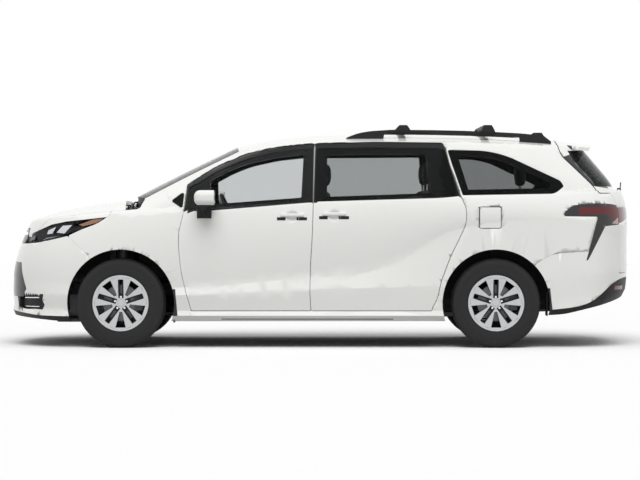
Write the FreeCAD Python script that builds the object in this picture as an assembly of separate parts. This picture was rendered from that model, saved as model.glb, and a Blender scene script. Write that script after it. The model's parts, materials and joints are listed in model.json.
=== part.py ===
"""A seven-seat minivan, built as separate panels, glazing, wheels, running gear and cabin pieces.

The frame: +X runs to the rear, +Y to the right-hand side, +Z up. The origin is on the ground, midway
between the front and rear ends. All lengths are in millimetres.

A table or value whose name ends in share or shares holds no lengths. Side-view points are given as
(along, up): along from the front axle in wheelbases, up from the ground in roof heights. Front-view and
plan points give the distance from the centreline in half widths.
"""
import FreeCAD
import Part
import math
import os

V = FreeCAD.Vector

# Overall sizes
length = 5175.0
half_width = 996.0
roof_height = 1760.0
front_overhang = 965.0
wheelbase = 3060.0
half_track = 863.0
front_tip = -length / 2
rear_tip = length / 2
front_axle = front_tip + front_overhang
rear_axle = front_axle + wheelbase
rear_overhang = rear_tip - rear_axle

# Gaps and fits
shut_gap = 7.0
seam = 0.9
rest_gap = 0.3
pin_play = 0.05
overrun = 60.0

# Panel thicknesses
fender_sheet = 12.0
hood_depth = 32.0
bumper_wall = 40.0
door_depth = 110.0
door_flange = 20.0
body_depth = 115.0
frame_depth = 45.0
door_frame_depth = 40.0
gate_depth = 90.0
glass_thickness = 6.0
lamp_depth = 70.0
door_step = 30.0

# Wheels
tyre_radius = 365.0
tyre_width = 235.0
rim_radius = 228.0
arch_radius = 438.0
well_radius = 452.0

# Body skin: corner shape of the plan outline
nose_depth = 900.0
nose_power = 2.6
tail_depth = 520.0
tail_power = 2.6
screen_depth = 500.0
screen_power = 2.6
hatch_depth = 600.0

# Body skin: crown of the hood and roof
hood_half = 940.0
hood_crown_power = 2.6
roof_half = 690.0
roof_drop = 62.0
roof_crown_power = 2.4


def along(share):
    """X of a place given in wheelbases behind the front axle."""
    return front_axle + share * wheelbase


def up(share):
    """Z of a place given in roof heights."""
    return share * roof_height


def side(shares):
    """Side-view points."""
    return [(along(a), up(b)) for a, b in shares]


def plan(shares):
    """Plan-view points as (x, y)."""
    return [(along(a), b * half_width) for a, b in shares]


def facing(shares):
    """Front-view points as (y, z)."""
    return [(a * half_width, up(b)) for a, b in shares]


def through(table, place):
    """Smooth value at a place of a curve through (place, value) pairs."""
    if place <= table[0][0]:
        return table[0][1]
    if place >= table[-1][0]:
        return table[-1][1]
    k = max(i for i in range(len(table) - 1) if table[i][0] <= place)

    def slope(i):
        if i == 0 or i == len(table) - 1:
            j = min(max(i, 1), len(table) - 1)
            return (table[j][1] - table[j - 1][1]) / (table[j][0] - table[j - 1][0])
        before = (table[i][1] - table[i - 1][1]) / (table[i][0] - table[i - 1][0])
        after = (table[i + 1][1] - table[i][1]) / (table[i + 1][0] - table[i][0])
        if before * after <= 0:
            return 0.0
        return 2 * before * after / (before + after)

    (x0, v0), (x1, v1) = table[k], table[k + 1]
    span = x1 - x0
    t = (place - x0) / span
    return (v0 * (1 + 2 * t) * (1 - t) ** 2 + slope(k) * span * t * (1 - t) ** 2
            + v1 * t * t * (3 - 2 * t) - slope(k + 1) * span * t * t * (1 - t))


# Levels of the body skin, from the flat base up: half widths and heights along the body, then how far the
# level's front and rear ends stand in from the tips, in overhangs
LOWER_SHARES = [
    dict(width=[(-0.025, 0.889), (0.53, 0.904),
                (1.217, 0.884)], height=[(0.53, 0.08)], front=0.049, rear=0.093),
    dict(width=[(-0.025, 0.929), (0.53, 0.949), (1.217, 0.929)],
         height=[(-0.315, 0.143), (-0.221, 0.13), (-0.14, 0.119), (-0.009, 0.123), (1.086, 0.124),
                 (1.184, 0.156), (1.282, 0.196), (1.376, 0.241)],
         front=0.016, rear=0.037),
    dict(width=[(-0.025, 0.976), (0.53, 0.986), (1.0, 0.989), (1.217, 0.964)],
         height=[(-0.315, 0.166), (-0.221, 0.148), (-0.14, 0.146), (-0.009, 0.149), (1.086, 0.149),
                 (1.184, 0.182), (1.282, 0.224), (1.376, 0.27)],
         front=0.0, rear=0.013),
    dict(width=[(-0.025, 0.966), (0.53, 0.97), (1.0, 0.979), (1.217, 0.962)],
         height=[(-0.315, 0.193), (-0.221, 0.175), (-0.14, 0.172), (1.086, 0.173), (1.184, 0.21),
                 (1.282, 0.25), (1.376, 0.301)],
         front=0.008, rear=0.007),
    dict(width=[(-0.025, 0.99), (0.212, 0.994), (1.0, 0.999), (1.217, 0.972)],
         height=[(-0.315, 0.256), (-0.14, 0.243), (-0.009, 0.239), (0.212, 0.248), (0.504, 0.269),
                 (0.839, 0.286), (1.0, 0.301), (1.184, 0.335), (1.376, 0.364)],
         front=0.002, rear=0.0),
    dict(width=[(-0.025, 0.986), (0.171, 0.97), (0.694, 0.966), (0.824, 0.98), (1.0, 0.992),
                (1.217, 0.966)],
         height=[(-0.315, 0.335), (-0.14, 0.295), (0.04, 0.278), (0.212, 0.284), (0.375, 0.31),
                 (0.504, 0.329), (0.628, 0.348), (0.7, 0.372), (0.781, 0.446), (0.85, 0.514),
                 (0.922, 0.56), (1.01, 0.581), (1.169, 0.585), (1.282, 0.534), (1.376, 0.489)],
         front=0.005, rear=0.001),
    dict(width=[(-0.025, 1.01), (0.171, 1.014), (0.694, 1.016), (1.0, 1.008), (1.217, 0.97)],
         height=[(-0.315, 0.443), (-0.14, 0.455), (0.04, 0.472), (0.212, 0.489), (0.375, 0.511),
                 (0.513, 0.534), (0.659, 0.56), (0.85, 0.611), (1.01, 0.631), (1.169, 0.636),
                 (1.282, 0.614), (1.376, 0.591)],
         front=0.028, rear=-0.007),
    dict(width=[(-0.025, 0.979), (0.171, 0.994), (0.694, 1.004), (1.0, 0.984), (1.217, 0.929)],
         height=[(-0.315, 0.545), (-0.238, 0.574), (-0.117, 0.608), (-0.029, 0.625), (0.17, 0.645),
                 (0.513, 0.668), (0.85, 0.696), (1.159, 0.699), (1.376, 0.699)],
         front=0.111, rear=-0.007),
    dict(width=[(-0.025, 0.803), (0.171, 0.871), (0.694, 0.884), (1.0, 0.884),
                (1.217, 0.853)], height=[(0.53, 0.761)],
         front=0.35, rear=0.076),
]
UPPER_SHARES = [
    dict(width=[(-0.025, 0.919), (0.53, 0.929),
                (1.217, 0.884)], height=[(0.53, 0.568)], front=0.598, rear=0.037),
    dict(width=[(0.105, 0.916), (0.236, 0.94), (0.53, 0.948), (0.988, 0.934), (1.184, 0.894)],
         height=[(-0.091, 0.616), (0.17, 0.639), (0.513, 0.673), (0.85, 0.698), (1.159, 0.713),
                 (1.376, 0.73)],
         front=0.795, rear=0.059),
    dict(width=[(0.301, 0.853), (0.53, 0.876), (0.988, 0.865),
                (1.151, 0.833)], height=[(0.53, 0.807)], front=1.453, rear=0.163),
    dict(width=[(0.432, 0.763), (0.53, 0.788), (0.988, 0.783),
                (1.118, 0.758)], height=[(0.53, 0.92)], front=1.889, rear=0.307),
    dict(width=[(0.53, 0.648), (0.988, 0.648)], height=[(0.53, 1.04)], front=2.339, rear=0.459),
]
LOWER_CREASES = (1, 2, 3, 4, 5)

# Height of the top along the centreline and along the hood's edge
HOOD_CENTRE_SHARES = [(-0.352, 0.455), (-0.306, 0.528), (-0.287, 0.56), (-0.266, 0.583), (-0.23, 0.609),
                      (-0.187, 0.631), (-0.127, 0.652), (-0.068, 0.668), (-0.006, 0.682), (0.105, 0.69),
                      (1.282, 0.733), (1.413, 0.739)]
HOOD_EDGE_SHARES = [(-0.352, 0.489), (-0.287, 0.52), (-0.244, 0.552), (-0.184, 0.575), (-0.117, 0.599),
                    (-0.076, 0.61), (-0.029, 0.619), (0.17, 0.643), (0.513, 0.68), (0.85, 0.703),
                    (1.159, 0.719), (1.413, 0.736)]
ROOF_CENTRE_SHARES = [(0.073, 0.852), (0.203, 0.903), (0.31, 0.94), (0.351, 0.957), (0.425, 0.98),
                      (0.511, 0.994), (0.6, 0.999), (0.759, 1.0), (0.922, 0.995), (1.086, 0.983),
                      (1.184, 0.97), (1.272, 0.952), (1.38, 0.926)]

FRONT_TURNS = (0, 10, 20, 31, 43, 55, 67, 79)
REAR_TURNS = (78, 64, 50, 37, 24, 12, 0)
SIDE_STATIONS = 12


def ring(spec, depths, side_inset, end_inset):
    """Half of a level's outline, from the front centre round the right-hand side to the rear centre."""
    front_depth, front_power, rear_depth, rear_power = depths
    front = front_tip + spec["front"] * front_overhang + side_inset + end_inset
    rear = rear_tip - spec["rear"] * rear_overhang - side_inset - end_inset
    turn_front, turn_rear = front + front_depth, rear - rear_depth

    def wide(x):
        return through(spec["width"], (x - front_axle) / wheelbase) * half_width - side_inset

    def high(x):
        return up(through(spec["height"], (x - front_axle) / wheelbase))

    points = []
    for turn in FRONT_TURNS:
        c, s = math.cos(math.radians(turn)), math.sin(math.radians(turn))
        x = turn_front - front_depth * c ** (2 / front_power)
        points.append(V(x, wide(turn_front) * s ** (2 / front_power), high(x)))
    for i in range(SIDE_STATIONS):
        x = turn_front + (turn_rear - turn_front) * i / (SIDE_STATIONS - 1)
        points.append(V(x, wide(x), high(x)))
    for turn in REAR_TURNS:
        c, s = math.cos(math.radians(turn)), math.sin(math.radians(turn))
        x = turn_rear + rear_depth * c ** (2 / rear_power)
        points.append(V(x, wide(turn_rear) * s ** (2 / rear_power), high(x)))
    return points


def spans(points):
    """Curve parameters from 0 to 1 by chord length."""
    total = [0.0]
    for a, b in zip(points, points[1:]):
        total.append(total[-1] + (b - a).Length)
    return [t / total[-1] for t in total]


def skin(rings, parameters):
    """A smooth face that starts and ends on its outer rings and is drawn towards those between."""
    rows = []
    for points in rings:
        curve = Part.BSplineCurve()
        curve.interpolate(Points=points, Parameters=parameters)
        rows.append(curve.getPoles())
    degree = min(len(rows) - 1, 3)
    steps = len(rows) - degree
    knots = [i / steps for i in range(steps + 1)]
    mults = [degree + 1] + [1] * (steps - 1) + [degree + 1]
    surface = Part.BSplineSurface()
    surface.buildFromPolesMultsKnots([list(col) for col in zip(*rows)], curve.getMultiplicities(), mults,
                                     curve.getKnots(), knots, False, False, curve.Degree, degree)
    return surface.toShape()


def closed_half(strips):
    """The solid between the y = 0 plane and a stack of skin strips with flat first and last levels."""
    edges = [e for s in strips for e in s.Edges]
    bottom = min(edges, key=lambda e: e.BoundBox.ZMax)
    top = max(edges, key=lambda e: e.BoundBox.ZMin)
    caps = []
    for edge in (bottom, top):
        ends = [v.Point for v in edge.Vertexes]
        caps.append(Part.Face(Part.Wire([edge, Part.makeLine(ends[-1], ends[0])])))
    centre = [e for e in edges if e.BoundBox.YMax < rest_gap]
    lids = [e for c in caps for e in c.Edges if e.BoundBox.YMax < rest_gap]
    wire = Part.Wire(Part.__sortEdges__(centre + lids))
    shell = Part.makeShell(strips + caps + [Part.Face(wire)])
    shell.sewShape()
    solid = Part.Solid(shell)
    if solid.Volume < 0:
        solid.reverse()
    return solid


def stack(specs, creases, depths, side_inset, end_inset):
    """A closed half solid through all the levels, with an edge at each crease."""
    rings = [ring(s, depths, side_inset, end_inset) for s in specs]
    parameters = spans(rings[len(rings) // 2])
    cuts = [0] + list(creases) + [len(rings) - 1]
    strips = [skin(rings[a:b + 1], parameters) for a, b in zip(cuts, cuts[1:])]
    return closed_half(strips)


def top_tool(centre, drop, half, power, lower_by):
    """The space above a crowned top, for cutting it to shape."""
    stations = 23
    start, end = front_tip - 3 * overrun, rear_tip + 3 * overrun
    rows = []
    for i in range(stations):
        x = start + (end - start) * i / (stations - 1)
        share = (x - front_axle) / wheelbase
        crown = up(through(centre, share)) - lower_by
        rows.append([V(x, s * half, crown - drop(share) * s ** power)
                     for s in (0.0, 0.25, 0.5, 0.7, 0.85, 1.0, 1.15)])
    surface = Part.BSplineSurface()
    surface.interpolate(rows)
    return surface.toShape().extrude(V(0, 0, roof_height))


def hood_drop(share):
    return up(through(HOOD_CENTRE_SHARES, share) - through(HOOD_EDGE_SHARES, share))


def lower_body(side_inset, end_inset, top_inset):
    body = stack(LOWER_SHARES, LOWER_CREASES, (nose_depth, nose_power, tail_depth, tail_power), side_inset,
                 end_inset)
    return body.cut(top_tool(HOOD_CENTRE_SHARES, hood_drop, hood_half, hood_crown_power, top_inset))


def upper_body(side_inset, end_inset, top_inset):
    body = stack(UPPER_SHARES, (), (screen_depth, screen_power, hatch_depth, screen_power), side_inset,
                 end_inset)
    return body.cut(top_tool(ROOF_CENTRE_SHARES, lambda share: roof_drop, roof_half, roof_crown_power,
                             top_inset))


def inside(depth):
    """The right half of the whole closed body, moved in by a depth."""
    return lower_body(depth, 0.0, depth).fuse(upper_body(depth, depth, depth))


def rounded(corners, corner_radius, bend_radius):
    """A closed wire in the XZ plane through corners: sharp turns get one radius, gentle bends the other."""
    count = len(corners)
    points = [V(x, 0, z) for x, z in corners]
    starts, ends, middles = [], [], []
    for i, p in enumerate(points):
        before, after = points[i - 1] - p, points[(i + 1) % count] - p
        half_turn = before.getAngle(after) / 2
        radius = corner_radius if half_turn < math.radians(68) else bend_radius
        cut = min(radius / math.tan(half_turn), 0.45 * min(before.Length, after.Length))
        before.normalize()
        after.normalize()
        toward = before + after
        straight = cut <= 0 or toward.Length < 0.001
        starts.append(p if straight else p + before * cut)
        ends.append(p if straight else p + after * cut)
        if straight:
            middles.append(None)
        else:
            toward.normalize()
            arc_radius = cut * math.tan(half_turn)
            middles.append(p + toward * (arc_radius / math.sin(half_turn) - arc_radius))
    edges = []
    for i in range(count):
        if middles[i] is not None:
            edges.append(Part.Arc(starts[i], middles[i], ends[i]).toShape())
        edges.append(Part.makeLine(ends[i], starts[(i + 1) % count]))
    return Part.Wire(edges)


panel_corner = 14.0
panel_bend = 900.0


def flat(corners, grow=0.0, corner_radius=panel_corner, bend_radius=panel_bend):
    """A flat outline in the XZ plane as a face, grown or shrunk."""
    face = Part.Face(rounded(corners, corner_radius, bend_radius))
    if grow:
        face = face.makeOffset2D(grow)
    return face.Faces[0]


def across(corners, grow=0.0, inner=0.0, outer=half_width + overrun, **radii):
    """A side-view outline carried across the body from y = inner to y = outer."""
    face = flat(corners, grow, **radii)
    face.translate(V(0, inner, 0))
    return face.extrude(V(0, outer - inner, 0))


def lengthwise(corners, start, end, grow=0.0, **radii):
    """A front-view outline, given as (y, z), carried along X."""
    face = flat(corners, grow, **radii)
    face.rotate(V(0, 0, 0), V(0, 0, 1), 90)
    face.translate(V(start, 0, 0))
    return face.extrude(V(end - start, 0, 0))


def upright(corners, bottom, top, grow=0.0, **radii):
    """A plan outline, given as (x, y), carried up from bottom to top."""
    face = flat(corners, grow, **radii)
    face.rotate(V(0, 0, 0), V(1, 0, 0), -90)
    face = face.mirror(V(0, 0, 0), V(0, 1, 0)) if face.BoundBox.YMax <= 0 else face
    face.translate(V(0, 0, bottom))
    return face.extrude(V(0, 0, top - bottom))


def box(x0, x1, y0, y1, z0, z1):
    return Part.makeBox(x1 - x0, y1 - y0, z1 - z0, V(x0, y0, z0))


def bar(radius, start, end, bore=0.0):
    """A round bar or tube between two points."""
    axis = end - start
    solid = Part.makeCylinder(radius, axis.Length, start, axis)
    return solid.cut(Part.makeCylinder(bore, axis.Length, start, axis)) if bore else solid


def mirrored(shape):
    return shape.mirror(V(0, 0, 0), V(0, 1, 0))


def both(half):
    """A right-hand piece and its left-hand twin."""
    return Part.makeCompound([half, mirrored(half)])


def whole(half):
    """Both halves of a piece joined on the centreline."""
    return half.fuse(mirrored(half))


def main_solid(shape):
    return max(shape.Solids, key=lambda s: s.Volume)


def store(name, shape):
    """Writes one sub-part."""
    smallest = rest_gap * overrun * overrun
    solids = [s for s in shape.Solids if s.Volume > smallest]
    piece = solids[0] if len(solids) == 1 else Part.makeCompound(solids)
    os.makedirs("parts", exist_ok=True)
    piece.exportStep("parts/%s.step" % name)



# Side-view outlines of the panels
FRONT_DOOR_SHARES = [(0.188, 0.172), (0.507, 0.172), (0.504, 0.255), (0.506, 0.396), (0.511, 0.538),
                     (0.513, 0.672), (0.516, 0.92), (0.517, 0.948), (0.488, 0.945), (0.415, 0.932),
                     (0.334, 0.901), (0.252, 0.841), (0.212, 0.795), (0.176, 0.753), (0.168, 0.632),
                     (0.154, 0.538), (0.154, 0.468), (0.16, 0.354), (0.175, 0.248)]
SLIDING_DOOR_SHARES = [(0.507, 0.172), (0.829, 0.172), (0.831, 0.188), (0.844, 0.231), (0.852, 0.301),
                       (0.878, 0.422), (0.9, 0.499), (0.921, 0.577), (0.921, 0.648), (0.907, 0.698),
                       (0.878, 0.853), (0.868, 0.928), (0.858, 0.952), (0.66, 0.955), (0.518, 0.948),
                       (0.517, 0.92), (0.513, 0.672), (0.511, 0.538), (0.506, 0.396), (0.504, 0.255)]
BODY_SIDE_SHARES = [(0.186, 0.149), (0.188, 0.172), (0.175, 0.248), (0.16, 0.354), (0.154, 0.468),
                    (0.154, 0.538), (0.168, 0.632), (0.164, 0.641), (0.128, 0.684), (0.117, 0.728),
                    (0.04, 0.728), (0.04, 1.08), (1.413, 1.08), (1.413, 0.344), (1.341, 0.344),
                    (1.292, 0.438), (1.236, 0.447), (1.151, 0.436), (1.106, 0.393), (1.0, 0.207),
                    (0.906, 0.149)]
FENDER_SHARES = [(-0.143, 0.518), (-0.08, 0.421), (0.0, 0.207), (0.141, 0.149), (0.186, 0.149),
                 (0.188, 0.172), (0.175, 0.248), (0.16, 0.354), (0.154, 0.468), (0.154, 0.538),
                 (0.168, 0.632), (0.164, 0.641), (0.128, 0.684), (0.117, 0.728), (-0.006, 0.728),
                 (-0.029, 0.616), (-0.06, 0.577), (-0.104, 0.549)]
FRONT_BUMPER_SHARES = [(-0.352, 0.168), (-0.315, 0.166), (-0.221, 0.148), (-0.14, 0.146), (0.0, 0.146),
                       (0.0, 0.207), (-0.08, 0.421), (-0.143, 0.518), (-0.221, 0.487), (-0.289, 0.476),
                       (-0.352, 0.476)]
FRONT_LIP_SHARES = [(-0.352, 0.145), (-0.315, 0.143), (-0.221, 0.13), (-0.14, 0.119), (0.0, 0.119),
                    (0.0, 0.157), (-0.14, 0.157), (-0.221, 0.159), (-0.315, 0.177), (-0.352, 0.18)]
FOG_SHARES = [(-0.28, 0.234), (-0.225, 0.241), (-0.21, 0.214), (-0.221, 0.178), (-0.262, 0.174),
              (-0.283, 0.185)]
HEADLAMP_SHARES = [(-0.352, 0.477), (-0.289, 0.477), (-0.221, 0.488), (-0.145, 0.52), (-0.104, 0.549),
                   (-0.06, 0.577), (-0.029, 0.616), (-0.029, 0.739), (-0.352, 0.739)]
REAR_BUMPER_SHARES = [(1.106, 0.393), (1.151, 0.436), (1.236, 0.447), (1.25, 0.447), (1.252, 0.455),
                      (1.282, 0.585), (1.292, 0.602), (1.413, 0.602), (1.413, 0.322), (1.331, 0.324),
                      (1.248, 0.196), (1.15, 0.177), (1.0, 0.168)]
REAR_LIP_SHARES = [(1.0, 0.182), (1.15, 0.189), (1.246, 0.207), (1.328, 0.335), (1.413, 0.335),
                   (1.413, 0.244), (1.376, 0.241), (1.282, 0.196), (1.184, 0.156), (1.15, 0.152),
                   (1.0, 0.152)]
GATE_UPPER_SHARES = [(1.171, 0.965), (1.179, 0.977), (1.181, 1.08), (1.445, 1.08), (1.445, 0.717),
                     (1.279, 0.717), (1.266, 0.749), (1.182, 0.89), (1.173, 0.932)]
TAIL_LAMP_SHARES = [(1.177, 0.61), (1.191, 0.645), (1.213, 0.662), (1.257, 0.669), (1.298, 0.669),
                    (1.354, 0.655), (1.413, 0.651), (1.413, 0.573), (1.331, 0.57), (1.293, 0.564),
                    (1.246, 0.41), (1.24, 0.402), (1.273, 0.608)]
SILL_SHARES = [(0.122, 0.123), (0.89, 0.124), (0.89, 0.165), (0.122, 0.165)]
FUEL_FLAP_SHARES = [(0.955, 0.554), (1.013, 0.554), (1.013, 0.653), (0.955, 0.653)]
FRONT_GLASS_SHARES = [(0.175, 0.637), (0.212, 0.632), (0.509, 0.674), (0.511, 0.92), (0.488, 0.922),
                      (0.415, 0.909), (0.334, 0.876), (0.252, 0.816), (0.212, 0.77), (0.181, 0.742)]
FRONT_HOLE_SHARES = [(0.239, 0.665), (0.481, 0.696), (0.487, 0.895), (0.415, 0.882), (0.334, 0.852),
                     (0.278, 0.812), (0.238, 0.774)]
SLIDING_GLASS_SHARES = [(0.518, 0.677), (0.85, 0.694), (0.901, 0.702), (0.876, 0.853), (0.865, 0.919),
                        (0.85, 0.926), (0.66, 0.93), (0.522, 0.926)]
SLIDING_HOLE_SHARES = [(0.55, 0.7), (0.826, 0.717), (0.815, 0.898), (0.55, 0.895)]
QUARTER_GLASS_SHARES = [(0.912, 0.707), (1.159, 0.714), (1.183, 0.748), (1.175, 0.774), (1.004, 0.915),
                        (0.873, 0.919), (0.884, 0.853)]
QUARTER_HOLE_SHARES = [(0.927, 0.733), (1.141, 0.74), (1.151, 0.76), (0.998, 0.886), (0.9, 0.891)]
SAIL_GLASS_SHARES = [(0.133, 0.681), (0.164, 0.644), (0.169, 0.727)]
RAIL_SHARES = [(0.602, 0.978), (0.63, 0.998), (0.663, 1.009), (0.725, 1.016), (0.779, 1.015),
               (0.841, 1.014), (0.92, 1.011), (0.998, 1.006), (1.071, 0.999), (1.103, 0.994),
               (1.108, 1.002), (1.131, 1.002), (1.135, 0.989), (1.156, 0.961), (1.156, 0.932),
               (1.071, 0.932), (1.071, 0.98), (0.998, 0.985), (0.92, 0.991), (0.841, 0.995),
               (0.705, 0.997), (0.701, 0.96), (0.602, 0.96)]
FRONT_CAP_SHARES = [(0.735, 1.006), (0.739, 1.023), (0.746, 1.038), (0.766, 1.038), (0.772, 1.026),
                    (0.778, 1.006)]
REAR_CAP_SHARES = [(0.964, 1.003), (0.97, 1.023), (0.975, 1.038), (0.995, 1.038), (1.001, 1.023),
                   (1.007, 0.997)]
DASH_SHARES = [(0.141, 0.352), (0.2, 0.364), (0.217, 0.455), (0.226, 0.545), (0.221, 0.602), (0.2, 0.628),
               (0.154, 0.632), (0.141, 0.625)]

# Plan outlines
HOOD_PLAN_SHARES = [(-0.287, -0.06), (-0.287, 0.0), (-0.282, 0.301), (-0.262, 0.522), (-0.244, 0.643),
                    (-0.184, 0.748), (-0.117, 0.809), (-0.076, 0.835), (-0.029, 0.853), (0.012, 0.861),
                    (0.005, 0.502), (-0.006, 0.0), (-0.006, -0.06)]
COWL_PLAN_SHARES = [(-0.01, -0.06), (0.001, 0.502), (0.008, 0.853), (0.05, 0.853), (0.063, 0.718),
                    (0.047, 0.562), (0.032, 0.301), (0.027, 0.0), (0.027, -0.06)]
COWL_BAND_SHARES = [(0.027, -0.06), (0.032, 0.301), (0.047, 0.562), (0.063, 0.703), (0.073, 0.693),
                    (0.056, 0.552), (0.042, 0.301), (0.037, 0.0), (0.037, -0.06)]
WINDSHIELD_PLAN_SHARES = [(0.024, -0.06), (0.024, 0.0), (0.029, 0.301), (0.045, 0.57), (0.062, 0.718),
                          (0.311, 0.598), (0.305, 0.301), (0.301, 0.0), (0.301, -0.06)]
SPOILER_PLAN_SHARES = [(1.181, -0.06), (1.181, 0.562), (1.217, 0.602), (1.257, 0.592), (1.269, 0.402),
                       (1.273, 0.0), (1.273, -0.06)]

gate_half = 0.745 * half_width

# Front-view outlines
GRILLE_FACE_SHARES = [(-0.06, 0.478), (0.507, 0.481), (0.532, 0.511), (0.477, 0.547), (-0.06, 0.56)]
INTAKE_FACE_SHARES = [(-0.06, 0.232), (0.653, 0.232), (0.703, 0.27), (0.582, 0.392), (-0.06, 0.395)]
GATE_LOWER_SHARES = [(-0.06, 0.344), (0.745, 0.344), (0.745, 0.724), (-0.06, 0.724)]
GATE_LAMP_SHARES = [(0.472, 0.602), (0.793, 0.572), (0.793, 0.65), (0.472, 0.647)]
REAR_GLASS_SHARES = [(-0.06, 0.749), (0.738, 0.749), (0.703, 0.852), (0.643, 0.916), (-0.06, 0.932)]
REAR_HOLE_SHARES = [(-0.06, 0.773), (0.643, 0.774), (0.562, 0.895), (-0.06, 0.905)]


def wheel_space(axle, radius, inner, outer=half_width + overrun):
    """A cylinder about an axle line."""
    return Part.makeCylinder(radius, outer - inner, V(axle, inner, tyre_radius), V(0, 1, 0))


def well_space(axle, inner):
    """The room a wheel liner takes behind the outer skin."""
    return wheel_space(axle, well_radius + 2 * liner_sheet,
                       inner - 2 * liner_sheet).common(skins.at(fender_sheet))


def shares_box(x0, x1, y0, y1, z0, z1):
    """A block placed by shares of the wheelbase, half width and roof height."""
    return box(along(x0), along(x1), y0 * half_width, y1 * half_width, up(z0), up(z1))


class Skins:
    """Inset copies of the right half of the closed body, made once each."""

    def __init__(self):
        self.made = {}

    def at(self, depth):
        if depth not in self.made:
            self.made[depth] = inside(depth)
        return self.made[depth]

    def slab(self, region, depth):
        """The body's skin within a region, to a depth."""
        return self.at(0.0).common(region).cut(self.at(depth))

    def y_at(self, x, z):
        """Half width of the body at a side-view place."""
        line = Part.makeLine(V(x, 0, z), V(x, half_width + overrun, z))
        return self.at(0.0).common(line).BoundBox.YMax


skins = Skins()
firewall_x = along(0.138)
floor_z = up(0.186)
pan_sheet = 22.0


hollows = {}


def hollow(depth, frame):
    """The hollow of the cabin, made once for each pair of wall depths."""
    if (depth, frame) not in hollows:
        hollows[depth, frame] = cabin(depth, frame)
    return hollows[depth, frame]


def cabin(depth, frame):
    low = lower_body(depth, gate_depth - depth, depth)
    low = low.common(box(firewall_x, rear_tip, 0, half_width, floor_z, up(0.756)))
    return low.fuse(upper_body(frame, frame / 3, frame))


# Door hinges
hinge_x = along(0.141)
hinge_y = 945.0
hinge_levels = (up(0.341), up(0.528))
hinge_pin_radius = 5.0
hinge_barrel_radius = 9.0
hinge_arm_height = 16.0
hinge_plate = 6.0
hinge_reach = 45.0


def door_hinges():
    """Gooseneck arms of the right front door: inboard from the pin, then back to the door."""
    arms = []
    door_x = along(0.168)
    for z in hinge_levels:
        low = z - hinge_arm_height / 2
        barrel = bar(hinge_barrel_radius, V(hinge_x, hinge_y, low),
                     V(hinge_x, hinge_y, low + hinge_arm_height))
        neck = box(hinge_x - hinge_plate, hinge_x + hinge_plate, hinge_y - hinge_reach, hinge_y,
                   low, low + hinge_arm_height)
        foot = box(hinge_x - hinge_plate, door_x, hinge_y - hinge_reach - hinge_plate,
                   hinge_y - hinge_reach + hinge_plate, low, low + hinge_arm_height)
        hole = bar(hinge_pin_radius + pin_play, V(hinge_x, hinge_y, low - overrun),
                   V(hinge_x, hinge_y, z + overrun))
        arms.append(barrel.fuse([neck, foot]).cut(hole))
    return arms


def hinge_brackets():
    """Ears and pins on the hinge post that carry the right front door."""
    pieces = []
    for z in hinge_levels:
        gap = hinge_arm_height / 2 + rest_gap
        for low in (z - gap - hinge_plate, z + gap):
            ear = box(hinge_x - hinge_barrel_radius, hinge_x + hinge_barrel_radius, post_outer_y - seam,
                      hinge_y,
                      low, low + hinge_plate)
            pieces.append(ear)
            pieces.append(bar(hinge_barrel_radius, V(hinge_x, hinge_y, low),
                              V(hinge_x, hinge_y, low + hinge_plate)))
        pieces.append(bar(hinge_pin_radius, V(hinge_x, hinge_y, z - gap), V(hinge_x, hinge_y, z + gap)))
    return pieces


post_outer_y = 885.0
post_inner_y = 800.0

# Door handles
handle_length = 190.0
handle_height = 27.0
handle_stand = 20.0
dish_radius = 95.0
dish_depth = 16.0
front_handle_shares = (0.457, 0.615)
sliding_handle_shares = (0.569, 0.62)


def handle_parts(place):
    """A pull handle that bridges a shallow dish: the dish to cut, then the handle to add."""
    x, z = along(place[0]), up(place[1])
    y = skins.y_at(x, z)
    dish = Part.makeSphere(dish_radius, V(x, y - dish_depth + dish_radius, z))
    grip = Part.makeBox(handle_length, handle_stand + 2 * dish_depth, handle_height,
                        V(x - handle_length / 2, y - 2 * dish_depth, z - handle_height / 2))
    grip = grip.makeFillet(handle_height * 0.35, [e for e in grip.Edges if e.BoundBox.YMin > y])
    scoop = Part.makeBox(2 * dish_radius * 0.55, 3 * dish_depth, 2 * handle_height,
                         V(x - dish_radius * 0.55, y - 2 * dish_depth, z - handle_height))
    return dish, grip.cut(scoop.translated(V(0, -dish_depth * 0.7, 0)))


def hinged_panel(outline, flange_depth, core_depth, core_frame, step):
    """A door: a flange at the skin that overlaps the opening, and a thicker core set in from its edge."""
    region = across(outline, -shut_gap / 2, inner=0.5 * half_width)
    core_region = across(outline, -shut_gap / 2 - step, inner=0.5 * half_width)
    flange = skins.slab(region, flange_depth)
    core = skins.at(0.0).common(core_region).cut(hollow(core_depth, core_frame))
    return main_solid(flange.fuse(core))


def glazed(panel, glass, hole):
    """A panel with a seat for its glass and an opening behind it, then the glass."""
    seat = skins.slab(across(glass, rest_gap, inner=0.5 * half_width), glass_thickness + rest_gap)
    pane = skins.slab(across(glass, inner=0.5 * half_width), glass_thickness)
    return panel.cut(seat).cut(across(hole, inner=0.5 * half_width)), pane


swing_levels = [up(share) for share in (0.2, 0.25, 0.3, 0.354, 0.41, 0.468, 0.503, 0.538, 0.57, 0.6, 0.63)]
swing_clear = 3.0


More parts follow.
